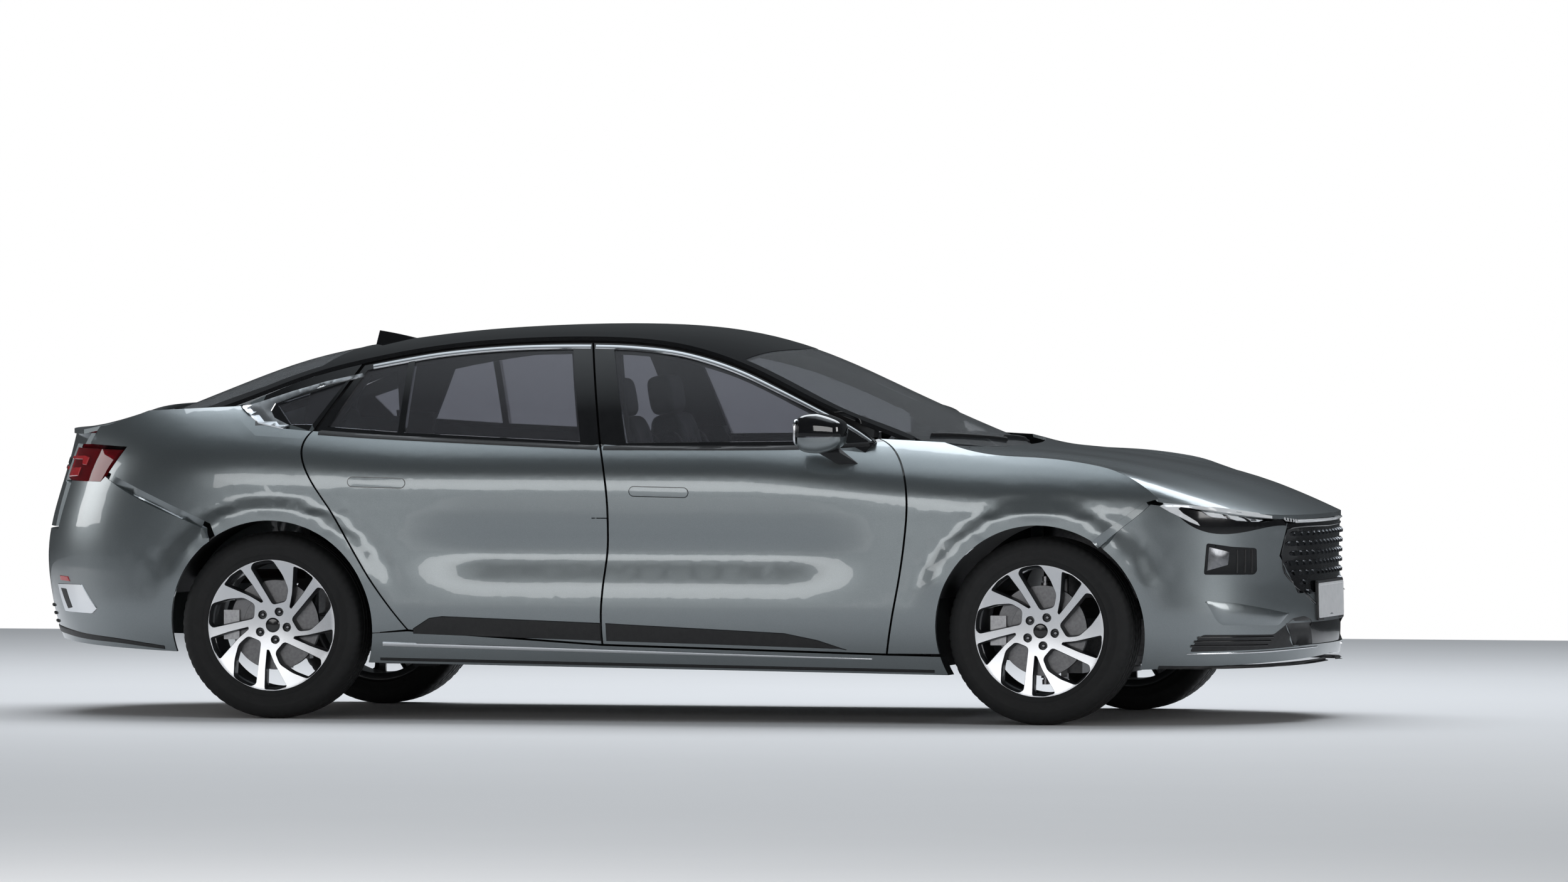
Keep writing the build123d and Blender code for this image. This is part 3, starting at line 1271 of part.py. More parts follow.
# Door mirrors
with BuildPart() as door_mirror:
    with BuildSketch(Plane.XZ.offset(895)) as shell:
        with BuildLine():
            Polyline((622, 1078), (640, 1150), (735, 1160), (800, 1110), (806, 1030), (700, 1012), close=True)
        make_face()
        fillet(shell.vertices(), 24)
    extrude(amount=120)
    fillet(door_mirror.edges().group_by(Axis.Y)[0], 28)
    with BuildSketch(Plane.XZ.offset(760)):
        with BuildLine():
            Polyline((700, 1030), (780, 1050), (865, 958), (800, 940), (740, 985), close=True)
        make_face()
    extrude(amount=200)
    add(slab(side_face, -SEAT_GAP, FAR, INWARD), mode=Mode.SUBTRACT)
    add(slab(cabin_side_face, -SEAT_GAP, FAR, INWARD), mode=Mode.SUBTRACT)
finish(door_mirror.part, "mirror_right")
finish(mirror(door_mirror.part, about=Plane.XZ), "mirror_left")

# Aerial fin on the roof
with BuildPart() as antenna:
    with BuildSketch(Plane.XZ):
        with BuildLine():
            Spline((-1030, 1400), (-1130, 1425), (-1222, 1442))
            Polyline((-1222, 1442), (-1236, 1360), (-1030, 1360), (-1030, 1400))
        make_face()
    extrude(amount=40, both=True)
    add(across([(-34, 1360), (34, 1360)], [(4, 1445)], [(-4, 1445)], start=-1300, length=400), mode=Mode.INTERSECT)
    add(slab(cabin_top_face, -SEAT_GAP, 400, DOWN), mode=Mode.SUBTRACT)
finish(antenna.part, "antenna")


def panel_arm(hinge, path, wall=14):
    """Fixed half of one lid hinge: an eye round the pin on a bent arm."""
    x, y, z = hinge
    with BuildPart() as arm:
        with BuildSketch(Plane.XZ.offset(y - wall / 2)):
            with BuildLine():
                Polyline(*path, close=True)
            make_face()
            with Locations((x, z)):
                Circle(PANEL_EYE)
                Circle(PANEL_PIN + HINGE_PLAY, mode=Mode.SUBTRACT)
        extrude(amount=wall)
    return both_sides(arm.part)


x, y, z = HOOD_HINGE
firewall = FIREWALL_X + FLOOR_WALL + SEAT_GAP
finish(
    panel_arm(
        HOOD_HINGE,
        [(x + 7, z), (x + 7, 905), (firewall, 905), (firewall, 935), (x - 7, 935), (x - 7, z)],
    ),
    "hood_hinges",
)
x, y, z = LID_HINGE
shelf = SHELF_HEIGHT + SHELF_WALL + SEAT_GAP
finish(
    panel_arm(
        LID_HINGE,
        [
            (x - 7, z), (x - 7, shelf), (SHELF_REAR + 60, shelf), (SHELF_REAR + 60, shelf + 14), (x + 7, shelf + 14),
            (x + 7, z),
        ],
    ),
    "lid_hinges",
)
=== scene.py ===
"""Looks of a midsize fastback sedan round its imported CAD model. Metres; +X forward, +Y left, +Z up."""

from math import cos, exp, hypot, pi, radians, sin

import bmesh
import bpy
from mathutils import Matrix, Vector
from mathutils.bvhtree import BVHTree
from mathutils.geometry import delaunay_2d_cdt


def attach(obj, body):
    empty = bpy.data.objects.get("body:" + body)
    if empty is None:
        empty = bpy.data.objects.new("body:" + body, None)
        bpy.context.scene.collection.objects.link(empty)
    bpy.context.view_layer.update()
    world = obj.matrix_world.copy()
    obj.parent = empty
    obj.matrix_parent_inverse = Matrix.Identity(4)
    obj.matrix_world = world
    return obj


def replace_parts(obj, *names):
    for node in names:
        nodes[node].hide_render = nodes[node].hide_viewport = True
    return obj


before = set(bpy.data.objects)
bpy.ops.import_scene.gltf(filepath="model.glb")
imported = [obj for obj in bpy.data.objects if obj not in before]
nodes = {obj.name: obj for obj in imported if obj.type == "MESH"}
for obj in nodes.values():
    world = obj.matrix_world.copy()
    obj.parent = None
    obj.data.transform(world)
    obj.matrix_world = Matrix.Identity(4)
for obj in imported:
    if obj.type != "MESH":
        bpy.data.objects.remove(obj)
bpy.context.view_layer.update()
scene = bpy.context.scene

SIDES = (("right", -1), ("left", 1))
FRONT_AXLE = 1.5475
REAR_AXLE = -1.4065
WHEEL_Y = 0.795
WHEEL_Z = 0.350
AXLES = (("front", FRONT_AXLE), ("rear", REAR_AXLE))
WHEELS = [(end, side, x, sign) for end, x in AXLES for side, sign in SIDES]
CORNERS = [f"{end}_{side}" for end, side, x, sign in WHEELS]


# Materials
class Tree:
    """A material's node tree with short calls for the nodes used here."""

    def __init__(self, name):
        self.material = bpy.data.materials.new(name)
        self.material.use_nodes = True
        self.nodes = self.material.node_tree.nodes
        self.links = self.material.node_tree.links
        self.shader = self.nodes["Principled BSDF"]

    def set(self, **values):
        for key, value in values.items():
            self.shader.inputs[key.replace("_", " ")].default_value = value
        return self

    def node(self, kind, **values):
        made = self.nodes.new("ShaderNode" + kind)
        for key, value in values.items():
            if key in made.inputs:
                made.inputs[key].default_value = value
            else:
                setattr(made, key, value)
        return made

    def link(self, source, target):
        self.links.new(source, target)

    def place(self):
        return self.node("TexCoord").outputs["Object"]

    def noise(self, scale, detail=4.0, rough=0.55, stretch=None):
        texture = self.node("TexNoise", Scale=scale, Detail=detail, Roughness=rough)
        place = self.place()
        if stretch:
            mapping = self.node("Mapping")
            mapping.inputs["Scale"].default_value = stretch
            self.link(place, mapping.inputs["Vector"])
            place = mapping.outputs["Vector"]
        self.link(place, texture.inputs["Vector"])
        return texture.outputs["Fac"]

    def cells(self, scale, feature="F1"):
        texture = self.node("TexVoronoi", Scale=scale, feature=feature)
        self.link(self.place(), texture.inputs["Vector"])
        return texture

    def ramp(self, source, low, high, start=0.3, end=0.7):
        ramp = self.node("ValToRGB")
        ramp.color_ramp.elements[0].position = start
        ramp.color_ramp.elements[1].position = end
        ramp.color_ramp.elements[0].color = low if len(low) == 4 else (*low, 1)
        ramp.color_ramp.elements[1].color = high if len(high) == 4 else (*high, 1)
        self.link(source, ramp.inputs["Fac"])
        return ramp.outputs["Color"]

    def bump(self, source, strength, distance=0.001):
        bump = self.node("Bump", Strength=strength, Distance=distance)
        self.link(source, bump.inputs["Height"])
        self.link(bump.outputs["Normal"], self.shader.inputs["Normal"])
        return self

    def vary(self, source, low, high, socket):
        spread = self.node("MapRange")
        spread.inputs["To Min"].default_value = low
        spread.inputs["To Max"].default_value = high
        self.link(source, spread.inputs["Value"])
        self.link(spread.outputs["Result"], self.shader.inputs[socket])
        return self

    def colour(self, output):
        self.link(output, self.shader.inputs["Base Color"])
        return self


def paint(name, low, high, metal, rough, flake=2600.0, coat=1.0):
    """Metallic lacquer: fine flakes in the base, a slow tone shift and an even clear coat."""
    tree = Tree(name)
    flakes = tree.cells(flake).outputs["Color"]
    tree.colour(tree.ramp(tree.noise(900.0, 2.0), low, high, 0.35, 0.65))
    tree.set(Metallic=metal, Coat_Weight=coat, Coat_Roughness=0.025, Coat_IOR=1.5)
    tree.vary(flakes, rough - 0.05, rough + 0.05, "Roughness")
    return tree.material


def plastic(name, low, high, rough, grain, depth, scale_noise=60.0):
    """Moulded plastic with a leather-like grain."""
    tree = Tree(name)
    tree.colour(tree.ramp(tree.noise(scale_noise), low, high))
    tree.vary(tree.noise(grain * 0.5, 3.0), rough - 0.06, rough + 0.06, "Roughness")
    tree.bump(tree.cells(grain).outputs["Distance"], depth, 0.0004)
    return tree.material


def metal(name, low, high, rough, brush=None):
    """Bare or plated metal with fine brushing."""
    tree = Tree(name)
    grain = tree.noise(90.0, 5.0, 0.6, brush or (1, 1, 1))
    tree.colour(tree.ramp(grain, low, high))
    tree.set(Metallic=1.0)
    tree.vary(grain, rough - 0.05, rough + 0.06, "Roughness")
    return tree.material


def gloss(name, low, high, rough, coat=0.0):
    tree = Tree(name)
    tree.colour(tree.ramp(tree.noise(26.0, 2.0), low, high))
    tree.set(Coat_Weight=coat, Coat_Roughness=0.02)
    tree.vary(tree.noise(140.0, 3.0), rough - 0.01, rough + 0.02, "Roughness")
    return tree.material


def glass(name, tint, rough, weight):
    """Thin tinted pane: partly see-through, with the gloss of real glass."""
    tree = Tree(name)
    tree.set(IOR=1.45, Transmission_Weight=weight, Base_Color=(*tint, 1))
    tree.vary(tree.noise(8.0, 2.0), rough, rough + 0.012, "Roughness")
    return tree.material


def leather(name, low, high):
    tree = Tree(name)
    grain = tree.cells(420.0).outputs["Distance"]
    tree.colour(tree.ramp(tree.noise(14.0, 5.0), low, high))
    tree.vary(tree.noise(90.0, 4.0), 0.42, 0.58, "Roughness")
    tree.bump(grain, 0.35, 0.0006)
    return tree.material


# Materials of the car
body_paint = paint("body_paint", (0.205, 0.230, 0.240), (0.262, 0.288, 0.298), 0.86, 0.33)
black_roof = gloss("black_lacquer", (0.004, 0.004, 0.005), (0.007, 0.007, 0.008), 0.05, 1.0)
black_trim = plastic("black_trim", (0.010, 0.010, 0.011), (0.018, 0.018, 0.019), 0.46, 900.0, 0.25)
grey_trim = plastic("grey_trim", (0.010, 0.010, 0.011), (0.016, 0.016, 0.017), 0.52, 900.0, 0.3)
satin_chrome = metal("satin_chrome", (0.78, 0.80, 0.82), (0.86, 0.87, 0.89), 0.16, (1, 20, 20))
dark_chrome = metal("dark_chrome", (0.16, 0.165, 0.175), (0.24, 0.245, 0.255), 0.22)
machined = metal("machined_alloy", (0.56, 0.57, 0.59), (0.66, 0.67, 0.69), 0.27, (40, 1, 40))
wheel_grey = paint("wheel_grey", (0.030, 0.032, 0.035), (0.046, 0.049, 0.053), 0.45, 0.42, 3200.0, 0.5)
steel = metal("steel", (0.28, 0.28, 0.29), (0.40, 0.40, 0.41), 0.38)
cast_iron = metal("cast_iron", (0.14, 0.14, 0.145), (0.21, 0.21, 0.215), 0.45, (1, 60, 1))
side_glass = glass("side_glass", (0.34, 0.35, 0.385), 0.0, 0.94)
screen_glass = glass("screen_glass", (0.30, 0.32, 0.34), 0.0, 0.94)
red_glass = glass("red_lamp_cover", (0.32, 0.008, 0.016), 0.02, 0.75)
lamp_black = gloss("lamp_black", (0.006, 0.006, 0.007), (0.010, 0.010, 0.011), 0.10, 0.4)
lamp_white = gloss("lamp_white", (0.80, 0.82, 0.84), (0.88, 0.89, 0.90), 0.18, 0.6)
lamp_red = gloss("lamp_red", (0.52, 0.012, 0.018), (0.66, 0.02, 0.026), 0.15, 0.8)
rubber = plastic("tyre_rubber", (0.0045, 0.0045, 0.005), (0.008, 0.008, 0.0085), 0.72, 700.0, 0.2, 30.0)
seat_leather = leather("seat_leather", (0.018, 0.017, 0.017), (0.030, 0.028, 0.027))
cabin_trim = plastic("cabin_trim", (0.018, 0.018, 0.019), (0.028, 0.028, 0.029), 0.6, 800.0, 0.4)
carpet = plastic("carpet", (0.010, 0.010, 0.011), (0.020, 0.020, 0.021), 0.9, 500.0, 1.0)
plate_white = gloss("plate_white", (0.74, 0.75, 0.76), (0.82, 0.82, 0.83), 0.30)

LOOKS = {
    body_paint: (
        *(f"door_{corner}" for corner in CORNERS), "fenders", "quarter_panels", "hood", "trunk_lid",
        "front_bumper", "rear_bumper", "sills",
    ),
    black_roof: ("roof", "antenna", "mirror_right", "mirror_left"),
    side_glass: (*(f"glass_{corner}" for corner in CORNERS), "quarter_glass"),
    screen_glass: ("windshield", "rear_window"),
    lamp_black: ("headlamps", "grille"),
    red_glass: ("tail_lamps",),
    black_trim: ("cowl", "wheel_liners"),
    cabin_trim: ("dashboard", "side_frames"),
    seat_leather: ("front_seats", "rear_bench", "steering_wheel"),
    carpet: ("floor_pan",),
    steel: (
        "knuckle_right", "knuckle_left", "front_suspension", "rear_axle", "door_hinges", "hood_hinges",
        "lid_hinges",
    ),
    cast_iron: ("engine", *(f"brake_disc_{corner}" for corner in CORNERS)),
    wheel_grey: [f"rim_{corner}" for corner in CORNERS],
    rubber: [f"tyre_{corner}" for corner in CORNERS],
}
NODE_SHARP = 28
for look, names in LOOKS.items():
    for name in names:
        mesh = nodes[name].data
        mesh.materials.clear()
        mesh.materials.append(look)
        mesh.shade_smooth()
        mesh.set_sharp_from_angle(angle=radians(NODE_SHARP))


# Building blocks
PIECE_SHARP = 38


def tree_of(*names):
    """One search tree over the surfaces of several CAD nodes."""
    points = []
    faces = []
    for name in names:
        mesh = nodes[name].data
        start = len(points)
        points += [v.co.copy() for v in mesh.vertices]
        faces += [[start + i for i in p.vertices] for p in mesh.polygons]
    return BVHTree.FromPolygons(points, faces)


AHEAD, LEFT, UP = Vector((1, 0, 0)), Vector((0, 1, 0)), Vector((0, 0, 1))
RAY_START = 4.0
SEARCH_RINGS = (0.006, 0.012, 0.020, 0.032, 0.050, 0.080, 0.120, 0.180)
SEARCH_WAYS = [(cos(k * pi / 4), sin(k * pi / 4)) for k in range(8)]


class View:
    """A direction in which outlines are drawn and dropped onto the car's surface."""

    def __init__(self, across, up, inward, *names, deepest=RAY_START):
        self.across = Vector(across)
        self.up = Vector(up)
        self.inward = Vector(inward).normalized()
        self.tree = tree_of(*names)
        self.reach = RAY_START + deepest

    def hit(self, u, v):
        start = self.across * u + self.up * v - self.inward * RAY_START
        point, normal, index, distance = self.tree.ray_cast(start, self.inward)
        return None if point is None or distance > self.reach else (distance, normal)

    def drop(self, u, v, lift=0.0):
        """The surface point under (u, v). Over a gap it takes the depth of the nearest panel beside it."""
        found = self.hit(u, v)
        for ring in SEARCH_RINGS:
            if found:
                break
            beside = [self.hit(u + ring * a, v + ring * b) for a, b in SEARCH_WAYS]
            found = min((one for one in beside if one), key=lambda one: one[0], default=None)
        distance, normal = found
        if normal.dot(self.inward) > 0:
            normal = -normal
        point = self.across * u + self.up * v + self.inward * (distance - RAY_START)
        return point + normal * lift, normal


SKIN_PANELS = ("fenders", "quarter_panels", "sills", "front_bumper", "rear_bumper")
side_view = View(AHEAD, UP, LEFT, "door_front_right", "door_rear_right", *SKIN_PANELS)


def mesh_piece(name, shape, look, body, mirror=False):
    """A finished piece that rides on a body; the mirror copy is the car's other side."""
    points, faces = shape
    if mirror:
        points = [(p[0], -p[1], p[2]) for p in points]
        faces = [tuple(reversed(f)) for f in faces]
    mesh = bpy.data.meshes.new(name)
    mesh.from_pydata([tuple(p) for p in points], [], faces)
    mesh.validate()
    mesh.shade_smooth()
    mesh.set_sharp_from_angle(angle=radians(PIECE_SHARP))
    mesh.materials.append(look)
    piece = bpy.data.objects.new(name, mesh)
    scene.collection.objects.link(piece)
    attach(piece, body)
    return piece


def both(name, shape, look, body):
    """A piece of the right side and its mirror copy on the left."""
    for side, sign in SIDES:
        mesh_piece(f"{name}_{side}", shape, look, body.replace("right", side), sign == 1)


def ring_faces(rows, turns):
    """Faces between closed rings of points that lie one after another."""
    return [
        (j * turns + k, j * turns + (k + 1) % turns, (j + 1) * turns + (k + 1) % turns, (j + 1) * turns + k)
        for j in range(rows - 1) for k in range(turns)
    ]


def ribbon_faces(rows, across):
    """Faces between open rows of points that lie one after another."""
    wide = across + 1
    return [
        (i * wide + k, i * wide + k + 1, (i + 1) * wide + k + 1, (i + 1) * wide + k)
        for i in range(rows - 1) for k in range(across)
    ]


def side_step(line, i):
    """The unit step to the left of an open line at one of its points."""
    a, b = line[max(i - 1, 0)], line[min(i + 1, len(line) - 1)]
    run = hypot(b[0] - a[0], b[1] - a[1]) or 1.0
    return -(b[1] - a[1]) / run, (b[0] - a[0]) / run


def face_outward(mesh, merge=0.0):
    """Turns a mesh's faces outward, with points closer than merge made one."""
    shape = bmesh.new()
    shape.from_mesh(mesh)
    if merge:
        bmesh.ops.remove_doubles(shape, verts=shape.verts, dist=merge)
    bmesh.ops.recalc_face_normals(shape, faces=shape.faces)
    shape.to_mesh(mesh)
    shape.free()


def lists_of(shape):
    """Points and faces of a bmesh, turned outward; the bmesh is freed."""
    bmesh.ops.recalc_face_normals(shape, faces=shape.faces)
    shape.verts.index_update()
    result = [v.co.copy() for v in shape.verts], [tuple(v.index for v in f.verts) for f in shape.faces]
    shape.free()
    return result


def resample(points, step):
    """Points along a smooth curve through the given ones, about a step apart."""
    fine = []
    count = len(points)
    for i in range(count - 1):
        p0 = points[max(i - 1, 0)]
        p1, p2 = points[i], points[i + 1]
        p3 = points[min(i + 2, count - 1)]
        length = hypot(p2[0] - p1[0], p2[1] - p1[1])
        parts = max(1, int(length / step))
        for k in range(parts):
            t = k / parts
            fine.append(tuple(
                0.5 * (2 * p1[a] + (p2[a] - p0[a]) * t + (2 * p0[a] - 5 * p1[a] + 4 * p2[a] - p3[a]) * t * t
                       + (3 * p1[a] - p0[a] - 3 * p2[a] + p3[a]) * t ** 3)
                for a in range(2)
            ))
    fine.append(tuple(points[-1]))
    return fine


def circle(x, z, radius, count):
    """Points round a centre."""
    turns = [2 * pi * k / count for k in range(count)]
    return [(x + radius * cos(a), z + radius * sin(a)) for a in turns]


def rounded(outline, radius):
    """A closed outline with its corners rounded."""
    result = []
    count = len(outline)
    for i in range(count):
        a, b, c = Vector(outline[i - 1]), Vector(outline[i]), Vector(outline[(i + 1) % count])
        cut = min(radius, (a - b).length * 0.42, (c - b).length * 0.42)
        start = b + (a - b).normalized() * cut
        end = b + (c - b).normalized() * cut
        for k in range(6):
            t = k / 5
            result.append(tuple(start * (1 - t) ** 2 + b * 2 * t * (1 - t) + end * t * t))
    return result


def refine(outline, step):
    """The outline with points added, no more than about a step apart."""
    result = []
    for a, b in zip(outline, outline[1:] + outline[:1]):
        parts = max(1, int(hypot(b[0] - a[0], b[1] - a[1]) / step))
        result += [(a[0] + (b[0] - a[0]) * k / parts, a[1] + (b[1] - a[1]) * k / parts) for k in range(parts)]
    return result


def area(outline):
    """Twice the area inside an outline, below zero where it runs clockwise."""
    return sum(p[0] * q[1] - q[0] * p[1] for p, q in zip(outline, outline[1:] + outline[:1]))


def shrink(outline, amount):
    """The outline moved inward by an amount."""
    count = len(outline)
    sign = 1 if area(outline) > 0 else -1
    result = []
    for i in range(count):
        a, b = outline[i - 1], outline[(i + 1) % count]
        run = hypot(b[0] - a[0], b[1] - a[1]) or 1.0
        over = sign * amount / run
        result.append((outline[i][0] - (b[1] - a[1]) * over, outline[i][1] + (b[0] - a[0]) * over))
    return result


def strip(view, path, width, lift, sink=0.003, across=6, step=0.03, smooth=True):
    """A crowned strip laid along a path on the surface. Width is one number or one for each path point."""
    line = resample(path, step) if smooth else list(path)
    widths = width if isinstance(width, (list, tuple)) else [width] * 2
    points = []
    total = len(line)
    for i, (u, v) in enumerate(line):
        nu, nv = side_step(line, i)
        place = i / (total - 1) * (len(widths) - 1)
        low = min(int(place), len(widths) - 2)
        half = (widths[low] + (widths[low + 1] - widths[low]) * (place - low)) / 2
        for k in range(across + 1):
            t = 2 * k / across - 1
            raised = -sink if k in (0, across) else lift * (1 - 0.55 * abs(t) ** 3)
            points.append(view.drop(u + nu * half * t, v + nv * half * t, raised)[0])
    faces = ribbon_faces(total, across)
    faces.append(tuple(range(across, -1, -1)))
    last = (total - 1) * (across + 1)
    faces.append(tuple(range(last, last + across + 1)))
    return points, faces


def patch(view, outline, lift, sink=0.003, step=0.02, edge=0.006, crown=0.0):
    """A plate with a free outline laid on the surface: its rim goes down into the surface all round."""
    rim = refine(outline, step)
    if area(rim) < 0:
        rim.reverse()
    inner = shrink(rim, edge)
    total = len(rim)
    flat = [Vector(p) for p in inner]
    lows = [min(p[k] for p in inner) for k in (0, 1)]
    highs = [max(p[k] for p in inner) for k in (0, 1)]
    for i in range(1, int((highs[0] - lows[0]) / step) + 1):
        for k in range(1, int((highs[1] - lows[1]) / step) + 1):
            p = (lows[0] + i * step, lows[1] + k * step)
            if inside(p, inner) and min(hypot(p[0] - q[0], p[1] - q[1]) for q in inner) > step * 0.45:
                flat.append(Vector(p))
    loop = [(i, (i + 1) % total) for i in range(total)]
    made, edges, faces, *rest = delaunay_2d_cdt(flat, loop, [tuple(range(total))], 1, 1e-6)
    points = []
    for p in made:
        near = min(hypot(p[0] - q[0], p[1] - q[1]) for q in inner) if crown else 0.0
        points.append(view.drop(p[0], p[1], lift + crown * min(1.0, near / 0.03))[0])
    faces = [tuple(f) for f in faces]
    base = len(points)
    if len(made) >= total and all((made[i] - flat[i]).length < 1e-5 for i in range(total)):
        points += [view.drop(p[0], p[1], -sink)[0] for p in rim]
        faces += [(base + i, base + (i + 1) % total, (i + 1) % total, i) for i in range(total)]
    return points, faces


def inside(p, outline):
    """True where a point lies within an outline."""
    hit = False
    j = len(outline) - 1
    for i in range(len(outline)):
        a, b = outline[i], outline[j]
        if (a[1] > p[1]) != (b[1] > p[1]) and p[0] < (b[0] - a[0]) * (p[1] - a[1]) / (b[1] - a[1]) + a[0]:
            hit = not hit
        j = i
    return hit


def join_blocks(blocks):
    """Points and faces of several blocks in one list."""
    points, faces = [], []
    for more_points, more_faces in blocks:
        start = len(points)
        points += list(more_points)
        faces += [tuple(start + i for i in f) for f in more_faces]
    return points, faces


def round_faces(turns, count):
    """Faces between sections of so many points that follow one another round an axis."""
    faces = []
    for t in range(turns):
        for k in range(count - 1):
            a, b = t * count + k, ((t + 1) % turns) * count + k
            faces.append((a, a + 1, b + 1, b))
    return faces


def lathe(profile, turns):
    """A ring round a wheel's axis: profile points are (radius, distance outward)."""
    angles = [2 * pi * t / turns for t in range(turns)]
    points = [(radius * cos(a), radius * sin(a), out) for a in angles for radius, out in profile]
    return points, round_faces(turns, len(profile))


# Wheels: alloy rims with five pairs of spokes, tyres with tread, nuts and caps
RIM_R = 0.258
BIG_WINDOW = [
    (0.887, 21), (0.945, 17), (0.952, 8), (0.950, -1), (0.76, -12), (0.582, -25), (0.40, -31), (0.292, 0),
]
SLIM_WINDOW = [
    (0.925, -21), (0.945, -31), (0.940, -42.5), (0.65, -45.5), (0.366, -50), (0.363, -44), (0.549, -32.6),
]
NUT_CIRCLE = 0.056
WINDOW_STEP = 0.007
WALL_STEPS = [(0.0, 0.0), (0.0008, -0.0012), (0.0030, -0.010), (0.0062, -0.034), (0.0062, -0.040)]
RING_POINTS = 120
CUP_R, CUP_POINTS = 0.0158, 24
FACE_STEP = 0.0095
nut_turns = [radians(64 + 72 * k) for k in range(5)]
nut_places = [(NUT_CIRCLE * cos(a), NUT_CIRCLE * sin(a)) for a in nut_turns]


def face_out(x, z):
    """How far the spoke face stands out from the wheel's middle plane."""
    r = hypot(x, z) / RIM_R
    return 0.083 + 0.022 * min(1.0, r / 0.93) ** 1.6


def wheel_windows():
    windows = []
    for k in range(5):
        for shape, radius in ((BIG_WINDOW, 0.014), (SLIM_WINDOW, 0.009)):
            polar = [(r * RIM_R, radians(90 + a + 72 * k)) for r, a in shape]
            windows.append(refine(rounded([(r * cos(a), r * sin(a)) for r, a in polar], radius), WINDOW_STEP))
    return windows


def rim_blocks():
    """Machined face and dark window walls, as (points, faces) in the wheel's own plane."""
    windows = wheel_windows()
    cups = [circle(x, z, CUP_R, CUP_POINTS) for x, z in nut_places]
    flat = [Vector(p) for p in circle(0.0, 0.0, RIM_R * 0.975, RING_POINTS)]
    loops = [tuple(range(RING_POINTS))]
    for window in windows + cups:
        start = len(flat)
        flat += [Vector(p) for p in window]
        loops.append(tuple(range(start, start + len(window))))
    for i in range(-26, 27):
        for k in range(-26, 27):
            p = (i * FACE_STEP, k * FACE_STEP)
            if hypot(*p) > RIM_R * 0.96:
                continue
            if any(inside(p, w) for w in windows + cups):
                continue
            if min(hypot(p[0] - q.x, p[1] - q.y) for q in flat[: loops[-1][-1] + 1]) > 0.0045:
                flat.append(Vector(p))
    edges = [(loop[i], loop[(i + 1) % len(loop)]) for loop in loops for i in range(len(loop))]
    made, _, faces, *rest = delaunay_2d_cdt(flat, edges, [], 0, 1e-7)
    kept = []
    for f in faces:
        c = (sum(made[i].x for i in f) / len(f), sum(made[i].y for i in f) / len(f))
        if hypot(*c) < RIM_R * 0.976 and not any(inside(c, w) for w in windows + cups):
            kept.append(tuple(f))
    front = ([(p.x, p.y, face_out(p.x, p.y)) for p in made], kept)
    walls = []
    for window in windows:
        points = []
        for inset, drop in WALL_STEPS:
            points += [(p[0], p[1], face_out(*q) + drop) for p, q in zip(shrink(window, inset), window)]
        walls.append((points, ring_faces(len(WALL_STEPS), len(window))))
    return front, join_blocks(walls)


rim_front, rim_walls = rim_blocks()
LIP = [
    (RIM_R * 0.972, 0.1052), (RIM_R * 0.982, 0.1075), (RIM_R * 0.992, 0.1085), (RIM_R, 0.1070),
    (RIM_R, 0.099), (0.2505, 0.096), (0.2440, 0.088), (0.2415, 0.070), (0.2415, -0.105), (0.2580, -0.107),
    (0.2580, -0.112), (0.2500, -0.112), (0.2330, -0.104), (0.2300, 0.030), (0.2330, 0.062),
    (RIM_R * 0.94, 0.070), (RIM_R * 0.955, 0.0985),
]
TREAD_ROWS = 260
SIDEWALL = [
    (0.2420, 0.1000), (0.2470, 0.1075), (0.2560, 0.1110), (0.2640, 0.1125), (0.2665, 0.1148),
    (0.2690, 0.1150), (0.2710, 0.1145), (0.2840, 0.1190), (0.2980, 0.1213), (0.3010, 0.1222),
    (0.3040, 0.1216), (0.3160, 0.1195), (0.3270, 0.1150),
]
SHOULDER = [(0.3330, 0.1105), (0.3375, 0.1075), (0.3420, 0.1010), (0.3462, 0.0910), (0.3480, 0.0800)]
GROOVES = [0.058, 0.020]
GROOVE = [
    (0.3494, 0.0065, "tread"), (0.3490, 0.0048, "groove"), (0.3425, 0.0036, "groove"),
    (0.3425, -0.0036, "groove"), (0.3490, -0.0048, "groove"), (0.3497, -0.0065, "tread"),
]
BLOCK_PITCH = 4
SHOULDER_BITE, TREAD_BITE = 0.0030, 0.0016


def tyre_profile():
    """Half of a tyre section from bead to tread middle, as (radius, out, part): side, shoulder or tread."""
    side = [(r, out, "side") for r, out in SIDEWALL] + [(r, out, "shoulder") for r, out in SHOULDER]
    tread = []
    for place in GROOVES:
        tread += [(r, place + over, part) for r, over, part in GROOVE]
    return side + tread + [(0.3499, 0.0, "tread")]


def tyre_block():
    half = tyre_profile()
    row = half + [(r, -out, part) for r, out, part in reversed(half[:-1])]
    points = []
    for t in range(TREAD_ROWS):
        angle = 2 * pi * t / TREAD_ROWS
        for r, out, part in row:
            bite = 0.0
            shift = t + (2 if out > 0 else 0) + int(abs(out) * 40)
            if part == "shoulder" and shift % BLOCK_PITCH == 0:
                bite = SHOULDER_BITE
            if part == "tread" and shift % BLOCK_PITCH == 0 and abs(out) > 0.004:
                bite = TREAD_BITE
            points.append(((r - bite) * cos(angle), (r - bite) * sin(angle), out))
    return points, round_faces(TREAD_ROWS, len(row))


def turned(rings, x=0.0, z=0.0, turns=24):
    """Rings of (radius, distance out) about a point of the wheel's face, joined one to the next."""
    points = [(*place, out) for r, out in rings for place in circle(x, z, r, turns)]
    return points, ring_faces(len(rings), turns)


